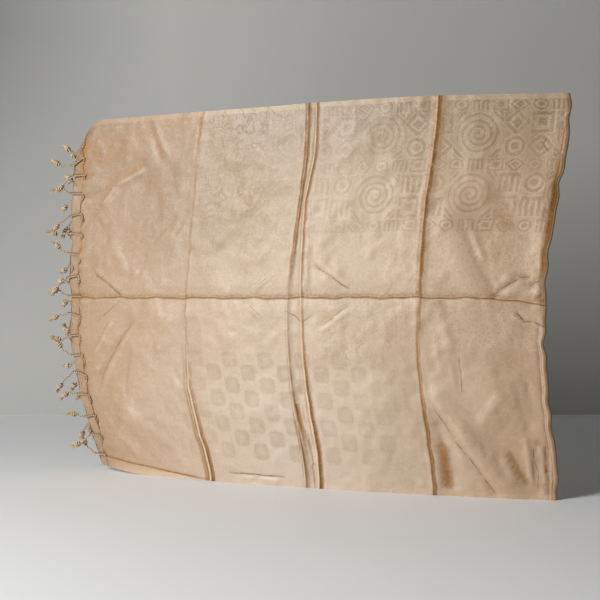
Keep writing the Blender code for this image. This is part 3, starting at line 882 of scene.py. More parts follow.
class Threads:
    """Gathers many tubes, to be joined as one mesh."""

    def __init__(self):
        self.points, self.faces, self.finishes = [], [], []

    def tube(self, path, radii, sides, finish=0):
        path = np.asarray(path, float)
        radii = np.broadcast_to(radii, len(path))
        start = len(self.points)
        for place, radius, (one, two) in zip(path, radii, frames(path)):
            for k in range(sides):
                angle = 2 * math.pi * k / sides
                self.points.append(place + (one * math.cos(angle) + two * math.sin(angle)) * radius)
        for n in range(len(path) - 1):
            for k in range(sides):
                a, b = start + n * sides + k, start + n * sides + (k + 1) % sides
                self.faces.append((a, b, b + sides, a + sides))
        self.faces.append(tuple(reversed(range(start, start + sides))))
        last = start + (len(path) - 1) * sides
        self.faces.append(tuple(range(last, last + sides)))
        self.finishes += [finish] * (len(self.faces) - len(self.finishes))

    def twisted(self, path, ply_radius, pitch, finishes=(0, 1), sides=5, phase=0.0):
        """Plies wound round a path, as in a cord; by default the second ply is the dark yarn, painted
        shade.
        """
        length = np.linalg.norm(np.diff(path, axis=0), axis=1).sum()
        turn = np.linspace(0.0, 2 * math.pi * length / pitch, len(path)) + phase
        across = frames(path)
        for ply, finish in enumerate(finishes):
            angle = turn + 2 * math.pi * ply / len(finishes)
            wound = [place + (one * math.cos(a) + two * math.sin(a)) * ply_radius * 0.95
                     for place, a, (one, two) in zip(path, angle, across)]
            self.tube(wound, ply_radius, sides, finish)

    def mesh_object(self, name):
        piece = mesh_piece(name, [tuple(point) for point in self.points], self.faces)
        bpy.ops.object.select_all(action="DESELECT")
        piece.select_set(True)
        bpy.context.view_layer.objects.active = piece
        bpy.ops.object.mode_set(mode="EDIT")
        bpy.ops.mesh.select_all(action="SELECT")
        bpy.ops.mesh.normals_make_consistent(inside=False)
        bpy.ops.object.mode_set(mode="OBJECT")
        bpy.ops.object.shade_smooth_by_angle(angle=ROUND_UNDER)
        return piece


print("round yarn is shaded smooth under", round(math.degrees(ROUND_UNDER)), "degrees")

# %% Where each cord runs
TASSELS = 17                 # at each end
FIRST_HEIGHT, LAST_HEIGHT = 0.030, 0.676
TASSEL_STEP = (LAST_HEIGHT - FIRST_HEIGHT) / (TASSELS - 1)
BACK_DROP = 0.35 * TASSEL_STEP      # the back end's tassels hang between the front end's
CORD_STAND = 0.0016          # the cords lie this far out from the middle of the cloth
FREE_CORD = 0.023


def tassel_height(side, number):
    height = mix(FIRST_HEIGHT, LAST_HEIGHT, number / (TASSELS - 1))
    return height if side == FRONT else height - BACK_DROP


def edge_place(side, line, height, hem_side=None):
    """A place on or past a leaf's fringed edge."""
    hem_side = hem_side or side
    level = hem_level(hem_side, np.array(min(line, BACK_RUN)), np.array(height))
    line = np.array(line) + edge_wave(level)
    gap = half_gap(line)
    return sheet_point(line, level) + sheet_normal(line, level) * side * gap


def cord_path(side, number):
    """Points from the leaf's edge to the knot, and the way that the knot points."""
    end, height = END_RUN[side], tassel_height(side, number)
    level = float(hem_level(side, np.array(end), np.array(height)))
    normal = sheet_normal(BACK_RUN, level)
    outward = sheet_point(BACK_RUN, level) - sheet_point(BACK_RUN - 0.004, level)
    outward[2] *= 0.2
    outward /= np.linalg.norm(outward)
    swing = math.sin(2.4 * number + 0.9 * side + 1.0)
    length = FREE_CORD * (1.0 + 0.26 * math.sin(1.7 * number + side))
    rise = length * (0.80 * swing - 0.08)
    out = 0.0085 + 0.0020 * math.sin(3.1 * number)
    points = [edge_place(side, end - 0.0015, height) + normal * side * 0.0004]
    root = edge_place(side, end + 0.001, height) + normal * side * 0.0008
    if side == FRONT:
        drop = 0.011 + 0.007 * math.sin(2.1 * number + 0.5)
        points = [edge_place(side, end - inset, max(height - drop * share, 0.004)) + normal * 0.0016
                  for share, inset in ((1.0, 0.0015), (0.6, 0.0042), (0.15, 0.0036))]
        points.append(root + normal * 0.0010)
        height += 0.0045 * math.sin(1.9 * number + 0.6)
        root = edge_place(FRONT, BACK_RUN, height, BACK) + normal * CORD_STAND
    for n in range(6):
        along = n / 5
        point = root + outward * length * along + normal * side * (CORD_STAND + out * along)
        point[2] += rise * along ** 1.3 + 0.0022 * along * math.sin(2.6 * n + 1.3 * number)
        points.append(point)
    way = points[-1] - points[-2]
    return points, way / np.linalg.norm(way)


sample, _ = cord_path(FRONT, 8)
print("front cord 8 runs from", sample[0].round(3), "to", sample[-1].round(3))

# %% One tassel: twisted cord, wound knot and tuft
PATH_STEP = 0.0012
PLY_RADIUS, CORD_PITCH = 0.00095, 0.0052
KNOT_LENGTH, KNOT_POINTS, KNOT_TURNS = 0.0130, 30, 3.2
KNOT_WAIST, KNOT_SWELL, KNOT_YARN = 0.0020, 0.0029, 0.0013
TUFT_LENGTH, TUFT_STRANDS = 0.0105, 13
STRAND_RADII = (0.00078, 0.00078, 0.0007, 0.0006, 0.00035)
STRAND_TURN = 2.399963       # the golden angle spreads the strands evenly
FLOOR_CLEARANCE = 0.0035


def add_tassel(threads, side, number):
    points, way = cord_path(side, number)
    low = points[-1][2] + min(way[2], 0.0) * (KNOT_LENGTH + TUFT_LENGTH) - 0.0045
    lift = max(0.0, FLOOR_CLEARANCE - low)
    points = [point + np.array([0.0, 0.0, lift * n / len(points)]) for n, point in enumerate(points)]
    end = points[-1]
    threads.twisted(smooth_path(points, PATH_STEP), PLY_RADIUS, CORD_PITCH, phase=number)
    knot = np.linspace(0.0, 1.0, KNOT_POINTS)
    one, two = frames(np.array([end, end + way]))[0]
    angle = knot * 2 * math.pi * KNOT_TURNS + number
    swell = KNOT_WAIST + KNOT_SWELL * np.sin(math.pi * np.clip(knot * 1.05, 0, 1)) ** 0.7
    wound = (end + way * (KNOT_LENGTH * knot[:, None] - 0.0006)
             + (one * np.cos(angle)[:, None] + two * np.sin(angle)[:, None]) * swell[:, None])
    threads.tube(wound, KNOT_YARN, 5)
    # A dark core inside the knot, painted shade between its turns.
    threads.tube([end, end + way * KNOT_LENGTH * 0.5, end + way * KNOT_LENGTH],
                 [0.0024, 0.0042, 0.0024], 6, 1)
    base = end + way * (KNOT_LENGTH - 0.0008)
    for strand in range(TUFT_STRANDS):
        turn = STRAND_TURN * strand + number
        share = math.sqrt((strand + 0.5) / TUFT_STRANDS)
        spread_way = one * math.cos(turn) + two * math.sin(turn)
        flare = (0.0034 + 0.0010 * math.sin(strand * 5.1 + number)) * share
        length = TUFT_LENGTH * (0.80 + 0.20 * math.sin(strand * 3.7 + number * 1.3))
        path = []
        for t in (0.0, 0.3, 0.6, 0.85, 1.0):
            point = base + spread_way * (0.0020 * share + flare * t ** 0.8) + way * length * t
            point[2] -= 0.0016 * t * t
            path.append(point)
        # Every third strand is dark yarn, painted shade in the tuft.
        threads.tube(path, STRAND_RADII, 4, int(strand % 3 == 1))


print("a tassel's knot and tuft are", KNOT_LENGTH + TUFT_LENGTH, "m long")


# %% The edge thread and its loops
EDGE_PLY, EDGE_PITCH, EDGE_STEP = 0.0006, 0.0044, 0.002
LOOP_RADIUS = 0.0011


def add_edge(threads, side):
    """The edge thread, the loops down it from each cord, and a dark thread over each cord, as painted
    shade.
    """
    end = END_RUN[side]
    levels = np.arange(0.003, WIDTH - 0.003, 0.004)
    edge = [edge_place(side, end + 0.0007, height) for height in levels]
    # The edge thread is all dark yarn, painted shade along the fringed edge.
    threads.twisted(smooth_path(edge, EDGE_STEP), EDGE_PLY, EDGE_PITCH, (1, 1), sides=4)
    for number in range(TASSELS):
        height = tassel_height(side, number)
        reach = 0.016 + 0.009 * math.sin(number * 2.7 + side)
        normal = sheet_normal(end, height)
        loop = [edge_place(side, end - 0.0062 * math.sin(math.pi * t), max(height - reach * t, 0.002))
                + normal * side * 0.0009 for t in np.linspace(0.0, 1.0, 7)]
        cord, _ = cord_path(side, number)
        # The loops are dark yarn, painted shade, and so is a thread laid 2 mm over each cord where it
        # leaves the edge, a painted shadow.
        over_edge = cord[3:6] if side == FRONT else cord[:4]
        for path in (loop, np.array(over_edge) + (0, 0, 0.0021)):
            threads.tube(smooth_path(path, EDGE_STEP), LOOP_RADIUS, 4, 1)


fringes = {}
for name, side in (("front_fringe_yarn", FRONT), ("back_fringe_yarn", BACK)):
    threads = Threads()
    for number in range(TASSELS):
        add_tassel(threads, side, number)
    add_edge(threads, side)
    fringes[name] = threads.mesh_object(name)
    for _ in range(2):
        fringes[name].data.materials.append(None)
    fringes[name].data.polygons.foreach_set("material_index", threads.finishes)
    print(name, "has", TASSELS, "tassels and", len(fringes[name].data.polygons), "faces")

# %% [markdown]
# The finishes are sums of small formulas, so a helper adds one math node after another and the code
# reads like the formula. Image maps could be painted instead, but a formula stays sharp at any
# size. A motif is a signed distance, below 0 inside the figure, so that shapes join by the smaller
# of two distances, overlap by the larger, and get their rim from the same number.

# %% Helpers for node formulas
class Formula:
    """Adds nodes to a tree one after another."""

    def __init__(self, tree):
        self.tree = tree

    def feed(self, slot, value):
        if isinstance(value, bpy.types.NodeSocket):
            self.tree.links.new(value, slot)
        elif value is not None:
            slot.default_value = value

    def add(self, kind, *values, **settings):
        node = self.tree.nodes.new(kind)
        for name, value in settings.items():
            setattr(node, name, value)
        for slot, value in zip(node.inputs, values):
            self.feed(slot, value)
        return node

    def math(self, operation, *values, clamp=False):
        return self.add("ShaderNodeMath", *values, operation=operation, use_clamp=clamp).outputs[0]

    def in_turn(self, operation, values):
        total = values[0]
        for value in values[1:]:
            total = self.math(operation, total, value)
        return total

    def sum(self, *values):
        return self.in_turn("ADD", values)

    def both(self, *values):
        return self.in_turn("MULTIPLY", values)

    def most(self, *values):
        return self.in_turn("MAXIMUM", values)

    def least(self, *values):
        return self.in_turn("MINIMUM", values)

    def minus(self, one, two):
        return self.math("SUBTRACT", one, two)

    def size(self, value):
        return self.math("ABSOLUTE", value)

    def away(self, value, centre):
        """How far the value is from the centre."""
        return self.size(self.minus(value, centre))

    def slope(self, value, rise, start, clamp=False):
        """The start where the value is 0, and one rise more for each unit of it."""
        return self.math("MULTIPLY_ADD", value, rise, start, clamp=clamp)

    def ramp(self, value, rise, start):
        """The same slope, kept between 0 and 1."""
        return self.slope(value, rise, start, clamp=True)

    def below(self, value, limit, soft):
        """1 where the value is under the limit, 0 over it, with a soft edge."""
        return self.ramp(value, -1.0 / soft, limit / soft + 0.5)

    def stroke(self, value, centre, half):
        """Distance from a line of that half width."""
        return self.minus(self.away(value, centre), half)

    def stripes(self, value, period, share):
        """Distance from repeated stripes that take up twice the share of each period."""
        in_period = self.math("FRACT", self.both(value, 1.0 / period))
        return self.slope(self.away(in_period, 0.5), period, -share * period)

    def pick(self, share, one, two):
        """One value where the share is 0 and the other where it is 1."""
        return self.slope(self.minus(two, one), share, one)

    def cell(self, value, size, shift=0.0):
        """Which cell of that size the value is in, and how far it is from the cell's middle."""
        scaled = self.slope(value, 1.0 / size, shift)
        return self.math("FLOOR", scaled), self.slope(self.math("FRACT", scaled), size, -size / 2)

    def vector(self, operation, *values):
        outputs = self.add("ShaderNodeVectorMath", *values, operation=operation).outputs
        return outputs["Value" if operation in ("DOT_PRODUCT", "LENGTH") else "Vector"]

    def scale(self, vector, factor):
        node = self.add("ShaderNodeVectorMath", vector, operation="SCALE")
        self.feed(node.inputs["Scale"], factor)
        return node.outputs["Vector"]

    def split(self, vector):
        return self.add("ShaderNodeSeparateXYZ", vector).outputs

    def join(self, x, y):
        return self.add("ShaderNodeCombineXYZ", x, y).outputs[0]

    def reach(self, x, y):
        return self.vector("LENGTH", self.join(x, y))

    def blend(self, share, one, two):
        node = self.add("ShaderNodeMix", data_type="RGBA")
        for slot, value in zip((node.inputs[0], node.inputs[6], node.inputs[7]), (share, one, two)):
            self.feed(slot, value)
        return node.outputs[2]

    def layers(self, colour, *rows):
        """Lays one colour after another over the first, each by its share."""
        for share, over in rows:
            colour = self.blend(share, colour, over)
        return colour

    def fed(self, kind, output, **values):
        """A node's output, with its inputs fed by name."""
        node = self.add(kind)
        for name, value in values.items():
            self.feed(node.inputs[name], value)
        return node.outputs[output]

    def noise(self, vector, scale, detail=2.0, rough=0.5):
        return self.fed("ShaderNodeTexNoise", 0, Vector=vector, Scale=scale, Detail=detail,
                        Roughness=rough)

    def shaken(self, vector, scale, reach):
        """The vector moved about by a soft noise, so that what is drawn with it wanders."""
        soft = self.fed("ShaderNodeTexNoise", 1, Vector=vector, Scale=scale)
        moved = self.scale(self.vector("SUBTRACT", soft, (0.5, 0.5, 0.5)), reach)
        return self.vector("ADD", vector, moved)

    def bump(self, height, strength, distance):
        return self.fed("ShaderNodeBump", 0, Height=height, Strength=strength, Distance=distance)

    def group(self, tree, **values):
        node = self.add("ShaderNodeGroup", node_tree=tree)
        for name, value in values.items():
            self.feed(node.inputs[name], value)
        return node.outputs


print("formulas are built with the nodes of Blender", bpy.app.version_string)


# %% New node groups and finishes
def new_group(name, inputs, outputs):
    """A node group with named sockets. A number given as an input is its starting value."""
    tree = bpy.data.node_groups.new(name, "ShaderNodeTree")
    for socket_name, start in inputs.items():
        kind = "NodeSocketVector" if start is None else "NodeSocketFloat"
        socket = tree.interface.new_socket(socket_name, in_out="INPUT", socket_type=kind)
        if start is not None:
            socket.default_value = start
    for socket_name in outputs:
        tree.interface.new_socket(socket_name, in_out="OUTPUT", socket_type="NodeSocketFloat")
    into = tree.nodes.new("NodeGroupInput").outputs
    return Formula(tree), into, tree.nodes.new("NodeGroupOutput").inputs


def new_finish(name):
    """A new material, the formula that fills its tree, and its shader."""
    material = bpy.data.materials.new(name)
    material.use_nodes = True
    return material, Formula(material.node_tree), material.node_tree.nodes["Principled BSDF"]


print("helpers ready:", new_group.__name__, "and", new_finish.__name__)

# %% [markdown]
# The damask's figure is charted from old, common motifs: coils set in squares with hatched
# corners, and combs, keys, rings and lozenges between them. A fine crackle fills the middle of the
# width, and round-cornered medallions stand in offset rows below. The chart is a node group, so
# both leaves and the reverse of the cloth show the same weaving.

# %% Small motifs
STROKE = 0.0022              # half the width of a drawn line
MOTIF_GROWTH = 0.86          # below 1, a motif comes out larger than it is drawn here


def comb(f, p, q):
    in_width = f.minus(f.size(p), 0.0150)
    teeth = f.stripes(f.minus(p, 0.0004), 0.0088, 0.27)
    body = f.most(in_width, f.minus(f.size(q), 0.0135))
    bar = f.most(f.stroke(q, 0.0115, STROKE), in_width)
    return f.least(f.most(teeth, body), bar)


def key(f, p, q):
    box = f.most(f.size(p), f.size(q))
    gate = f.most(f.stroke(q, 0.0, 0.0030), f.minus(0.004, p))
    rim = f.most(f.stroke(box, 0.0135, STROKE), f.both(gate, -1.0))
    return f.least(rim, f.minus(box, 0.0058))


def ring(f, p, q):
    away = f.reach(p, q)
    return f.least(f.stroke(away, 0.0125, STROKE), f.minus(away, 0.0055))


def lozenge(f, p, q):
    away = f.both(f.sum(f.size(p), f.size(q)), 0.72)
    return f.least(f.stroke(away, 0.0118, STROKE), f.stroke(away, 0.0035, STROKE))


MOTIFS = (comb, key, lozenge, ring)
f, into, out = new_group("damask block", {"Across": 0.0, "Up": 0.0, "Kind": 0.0}, ["Distance"])
sides = [f.both(into[name], MOTIF_GROWTH) for name in ("Across", "Up")]
f.feed(out["Distance"], f.sum(*(
    f.both(motif(f, *sides), f.math("COMPARE", into["Kind"], float(n), 0.3))
    for n, motif in enumerate(MOTIFS))))
blocks = f.tree
print("motifs charted:", [motif.__name__ for motif in MOTIFS])

# %% The coil in its square
COIL_RADIUS, COIL_PITCH = 0.0375, 0.0106
COIL_LINE = 0.20             # half the width of the coil's line, as a share of its pitch
HATCH_FROM, HATCH_TO = 0.0590, 0.0395

f, into, out = new_group("damask coil", {"Across": 0.0, "Up": 0.0}, ["Distance"])
away = f.reach(into["Across"], into["Up"])
turn = f.both(f.math("ARCTAN2", into["Up"], into["Across"]), 1 / (2 * math.pi))
winding = f.math("FRACT", f.slope(away, 1 / COIL_PITCH, turn))
line = f.slope(f.away(winding, 0.5), COIL_PITCH, -COIL_LINE * COIL_PITCH)
line = f.most(line, f.minus(away, COIL_RADIUS))
sides = [f.size(into[name]) for name in ("Across", "Up")]
corner = f.sum(*sides)
hatched = f.most(f.minus(HATCH_FROM, corner), f.minus(f.most(*sides), HATCH_TO),
                 f.stripes(corner, 0.0098, 0.32))
f.feed(out["Distance"], f.least(line, hatched))
coil = f.tree
print("the coil winds", round(COIL_RADIUS / COIL_PITCH, 1), "times")

# %% The rows of coils and motifs
REPEAT, SQUARE, COIL_AT = 0.1680, 0.0840, 0.1500
BLOCK, STRIP_BLOCK, STRIP_HEIGHT = 0.0420, 0.0330, 0.0930
ROWS_FROM, ROW_PERIOD, ROW_SQUARES = 0.4860, 0.1040, 0.0820
SHAKE = 0.0060               # the motifs' outlines wander like this, as drawn ones do

f, into, out = new_group("damask figure", {"Cut": None},
                         ["Figure", "Rim", "Medallion", "Glyph", "Fine", "Selvedge"])
run, height, _ = f.split(f.shaken(into["Cut"], 80.0, SHAKE))
_, in_repeat = f.cell(f.minus(run, COIL_AT - SQUARE / 2), REPEAT)
in_repeat = f.sum(in_repeat, REPEAT / 2)
row_number, in_row = f.cell(f.minus(height, ROWS_FROM), ROW_PERIOD)
in_row = f.sum(in_row, ROW_PERIOD / 2)
square = f.group(coil, Across=f.minus(in_repeat, SQUARE / 2),
                 Up=f.minus(in_row, ROW_SQUARES / 2))[0]
column, across = f.cell(f.minus(in_repeat, SQUARE), BLOCK)
storey, up = f.cell(in_row, ROW_SQUARES / 2)
MOTIF_COUNT = float(len(MOTIFS))
kind = f.slope(storey, 3.0, f.slope(row_number, 2.0, column))
kind = f.math("FLOORED_MODULO", kind, MOTIF_COUNT)
small = f.group(blocks, Across=across, Up=up, Kind=kind)[0]
strip_number, strip_across = f.cell(run, STRIP_BLOCK)
strip = f.group(blocks, Across=f.both(strip_across, 1.3),
                Up=f.both(f.minus(in_row, STRIP_HEIGHT), 1.6),
                Kind=f.math("FLOORED_MODULO", f.both(strip_number, 3.0), MOTIF_COUNT))[0]
in_squares = f.math("LESS_THAN", in_repeat, SQUARE)
in_rows = f.math("LESS_THAN", in_row, ROW_SQUARES)
top = f.pick(in_rows, strip, f.pick(in_squares, small, square))
print("rows of coils start", ROWS_FROM, "m up and repeat every", ROW_PERIOD, "m")

MEDALLION_ACROSS, MEDALLION_UP = 0.0740, 0.0490
MEDALLIONS_FROM, MEDALLIONS_TO = 0.0480, 0.2560
MEDALLION_ARM, MEDALLION_ROUND = 0.0070, 0.0082
SCALLOPS, SCALLOP_DEPTH = 22.0, 0.0013

lattices = []
for shift in (0.0, 0.5):
    _, p = f.cell(run, MEDALLION_ACROSS, shift)
    _, q = f.cell(height, MEDALLION_UP, shift + 0.25)
    lattices.append((f.reach(p, q), f.join(p, q)))
nearer = f.math("LESS_THAN", lattices[0][0], lattices[1][0])
local = f.vector("ADD", f.scale(lattices[0][1], nearer),
                 f.scale(lattices[1][1], f.minus(1.0, nearer)))
p, q, _ = f.split(local)
centre = f.minus(height, q)
scallops = f.math("SINE", f.both(f.math("ARCTAN2", q, p), SCALLOPS))
p, q = f.size(p), f.size(q)
past_arms = f.vector("SUBTRACT", f.join(p, q), (MEDALLION_ARM, MEDALLION_ARM, 0.0))
corner = f.vector("LENGTH", f.vector("MAXIMUM", past_arms, (0.0, 0.0, 0.0)))
medallion = f.slope(scallops, SCALLOP_DEPTH, f.minus(corner, MEDALLION_ROUND))
glyph = f.least(f.most(f.stroke(p, 0.0036, 0.0007), f.minus(q, 0.0050)),
                f.most(f.stroke(q, 0.0016, 0.0007), f.minus(p, 0.0040)))
in_field = f.both(f.math("GREATER_THAN", centre, MEDALLIONS_FROM),
                  f.math("LESS_THAN", centre, MEDALLIONS_TO))
print("medallions every", MEDALLION_ACROSS, "m across and", MEDALLION_UP, "m up")

# %% What the chart gives
FINE_ZONE = (0.2620, 0.4640)
PLAIN_EDGE = 0.0090          # width of the plain selvedge

crackle = f.add("ShaderNodeTexVoronoi", into["Cut"], feature="DISTANCE_TO_EDGE")
crackle.inputs["Scale"].default_value = 125.0
over = [f.minus(1.0, f.below(height, edge, 0.003)) for edge in FINE_ZONE]
selvedge = f.below(f.least(height, f.minus(WIDTH, height)), PLAIN_EDGE, 0.0010)
inside = f.minus(1.0, selvedge)
worn = f.slope(f.below(medallion, -0.0045, 0.0040), -0.18, 1.0)
for name, mask in (
        ("Figure", f.both(f.below(top, 0.0, 0.0018), over[1], inside)),
        ("Rim", f.both(f.below(f.away(top, 0.0016), 0.0004, 0.0012), over[1], inside)),
        ("Medallion", f.both(f.below(medallion, 0.0, 0.0036), worn, in_field)),
        ("Glyph", f.both(f.below(glyph, 0.0, 0.0014), in_field)),
        ("Fine", f.both(f.below(crackle.outputs["Distance"], 0.14, 0.14), over[0],
                        f.minus(1.0, over[1]))),
        ("Selvedge", selvedge)):
    f.feed(out[name], mask)
damask = f.tree
print("damask chart has", len(damask.nodes), "nodes")

# %% [markdown]
# Two more groups. The first is the satin weave: fine floats across and along, and the slubs of an
# uneven thread. The second is a thin pressed line between two points of the cut, which fades at
# its ends, and along which the front finish paints shade. It could be a painted stroke, but a
# formula keeps it as fine as a real crease.

# %% Weave and pressed line
WARP_PITCH, WEFT_PITCH = 0.00055, 0.00060
f, into, out = new_group("silk weave", {"Cut": None, "Figure": 0.0}, ["Height", "Slub"])
run, height, _ = f.split(into["Cut"])
warp, weft = (f.math("SINE", f.both(way, 2 * math.pi / pitch))
              for way, pitch in ((height, WARP_PITCH), (run, WEFT_PITCH)))
slub = f.noise(f.join(f.both(run, 0.16), height), 620.0, 3.0, 0.6)
slub_along = f.noise(f.join(run, f.both(height, 0.12)), 420.0)
f.feed(out["Height"], f.sum(f.both(warp, weft, 0.5), slub, slub_along,
                            f.both(into["Figure"], -1.6)))
f.feed(out["Slub"], f.both(f.sum(slub, slub_along), 0.5))
weave = f.tree

f, into, out = new_group("pressed line", {"Cut": None, "From": None, "To": None, "Width": 0.0016},
                         ["Line"])
reach = f.vector("SUBTRACT", into["To"], into["From"])
place = f.vector("SUBTRACT", into["Cut"], into["From"])
share = f.math("DIVIDE", f.vector("DOT_PRODUCT", place, reach),
               f.vector("DOT_PRODUCT", reach, reach), clamp=True)
distance = f.vector("LENGTH", f.vector("SUBTRACT", place, f.scale(reach, share)))
line = f.math("SUBTRACT", 1.0, f.math("DIVIDE", distance, into["Width"]), clamp=True)
to_an_end = f.size(f.slope(share, 2.0, -1.0))
f.feed(out["Line"], f.both(line, f.minus(1.0, f.math("POWER", to_an_end, 4.0))))
press = f.tree
print("groups:", [tree.name for tree in bpy.data.node_groups])

# %% [markdown]
# Silk damask is one colour of thread in two weaves. The satin ground floats its threads and shines,
# and the figure is bound more closely and looks darker and duller. Light is painted over the ground:
# a painted sheen, palest in the middle of the length and rosier low down, and painted shade towards
# the upper selvedge, the fold and the fringed end. Hollows get a warmer, deeper painted shade,
# because light that bounces between cloth and cloth picks up its colour, crests get a painted
# highlight, and the plain selvedges are paler.

# %% Colours of the silk
SILK = (0.418, 0.290, 0.180, 1.0)
# The next two colours are painted sheen, laid over the ground where the light's gloss would fall.
SILK_SHEEN_PAINT = (0.490, 0.395, 0.295, 1.0)
SILK_LOW_SHEEN_PAINT = (0.480, 0.385, 0.320, 1.0)
# The next three colours are painted shade, laid over the ground where less light falls.
SILK_FOLD_SIDE_SHADE = (0.390, 0.252, 0.140, 1.0)
SILK_UPPER_SHADE = (0.276, 0.188, 0.104, 1.0)
SILK_TOP_END_SHADE = (0.205, 0.135, 0.080, 1.0)
# This darker colour is painted shade over the ground, and random darker tone in the finish.
SILK_DARK_TONE_AND_SHADE = (0.305, 0.195, 0.113, 1.0)
SILK_SELVEDGE = (0.520, 0.375, 0.235, 1.0)
# This pale colour is a painted highlight on crests and the figure's rim, and also pale random tone and
# flecks.
SILK_LIGHT_AND_PALE = (0.620, 0.465, 0.335, 1.0)
# The next three colours are painted shade in creases and folds, from mild to deepest.
SILK_SHADE = (0.290, 0.196, 0.118, 1.0)
SILK_CREASE_SHADE = (0.262, 0.106, 0.010, 1.0)
SILK_CREASE_CORE_SHADE = (0.150, 0.066, 0.002, 1.0)
# Painted shade along the thin pressed lines.
SILK_THIN_LINE_SHADE = (0.165, 0.080, 0.022, 1.0)
SILK_REVERSE = (0.400, 0.276, 0.150, 1.0)
FIGURE_SHADE = (0.72, 0.67, 0.59)
REVERSE_FIGURE_SHADE = (1.20, 1.26, 1.34)   # on the reverse the figure is the brighter weave
print("the silk's ground is", SILK[:3], "and its deepest crease", SILK_CREASE_CORE_SHADE[:3])

# %% Painted shade along thin pressed lines of the front leaf
SHADED_CREASE_LINES = in_metres((
    # run a, height a, run b, height b, width, in millimetres
    (904, 398, 868, 377, 1.6),
    (870, 378, 836, 354, 1.8),
    (844, 341, 899, 300, 1.2),
    (502, 395, 537, 367, 1.1),
    (416, 407, 384, 388, 1.3),
    (385, 389, 350, 365, 1.7),
    (350, 336, 408, 296, 1.3),
    (473, 327, 440, 306, 1.4),
    (441, 306, 421, 317, 1.5),
    (548, 339, 520, 314, 1.1),
    (92, 352, 78, 368, 1.5),
    (79, 366, 46, 390, 1.5),
    (47, 390, 28, 395, 1.3),
    (29, 379, 9, 391, 1.4),
    (52, 330, 36, 317, 2),
    (36, 317, 21, 318, 1.7),
    (22, 319, 2, 312, 1.9),
    (36, 626, 42, 612, 1.7),
    (42, 614, 30, 600, 1.7),
    (150, 262, 149, 176, 1.2),
    (206, 160, 172, 98, 1.1),
    (174, 99, 136, 48, 1.7),
    (137, 49, 108, 6, 1.4),
    (38, 89, 39, 69, 1.7),
    (39, 70, 33, 46, 1.6),
    (33, 47, 36, 16, 1.4),
    (17, 96, 18, 66, 1.6),
    (637, 19, 508, 17, 1.8),
))
print(len(SHADED_CREASE_LINES), "thin lines are drawn in the finish")


# %% Painted sheen and shade over the ground, and how the figure shows
def ground_with_painted_light(f, run, height, ground):
    """The plain cloth's colour with painted sheen in the middle and painted shade up high and at the ends.
    """
    middle = f.ramp(f.away(run, 0.50), -1.5, 0.62)
    full_light = f.both(f.ramp(f.away(run, 0.62), -3.6, 0.80), f.ramp(height, 6.0, -1.9))
    upper = f.sum(f.ramp(height, 2.2, -0.68), full_light)
    near_fold = f.ramp(run, -1.5, 0.50)
    fringed_end = f.ramp(run, 1.9, -1.12)
    lower = f.ramp(height, -6.0, 1.6)
    under_middle = f.ramp(f.away(height, 0.31), -3.4, 0.48)
    top = f.both(f.ramp(height, 5.2, -2.84), f.slope(fringed_end, -1.0, 1.0))
    return f.layers(ground, (middle, SILK_SHEEN_PAINT), (upper, SILK_UPPER_SHADE), (near_fold, SILK_FOLD_SIDE_SHADE),
                    (f.both(middle, lower), SILK_LOW_SHEEN_PAINT), (under_middle, SILK_DARK_TONE_AND_SHADE), (top, SILK_TOP_END_SHADE),
                    (fringed_end, SILK_DARK_TONE_AND_SHADE), (f.both(fringed_end, upper, 1.3), SILK_TOP_END_SHADE))


def figure_in_painted_sheen(f, chart, run, cloudy, depth):
    """The figure's strength in patches, least at the fringed end as a painted sheen effect, and its pale
    rim, partly a painted highlight.
    """
    top_depth = f.most(f.slope(run, -1.60, 0.88), f.both(f.below(run, 0.670, 0.040), 0.12))
    low_depth = f.most(f.slope(f.away(run, 0.50), -2.6, 0.95), 0.10)
    shown = f.sum(f.both(chart["Figure"], top_depth), f.both(chart["Medallion"], low_depth, 0.72))
    figure = f.math("MULTIPLY", f.both(shown, f.slope(cloudy, 2.0, -0.05)), depth, clamp=True)
    rim = f.sum(f.both(chart["Rim"], top_depth, 0.40), f.both(chart["Glyph"], low_depth, 0.20),
                f.both(chart["Fine"], f.ramp(run, -0.17, 0.17)))
    return figure, f.both(rim, depth)


def loose(f, run):
    """How slack the cloth is: least in the pressed middle, most at the ends."""
    return f.sum(f.ramp(f.away(run, 0.42), 3.0, -0.55), f.ramp(run, 14.0, -12.2))


print("the ground, its figure and its slack change over a run of", FRONT_RUN, "m")


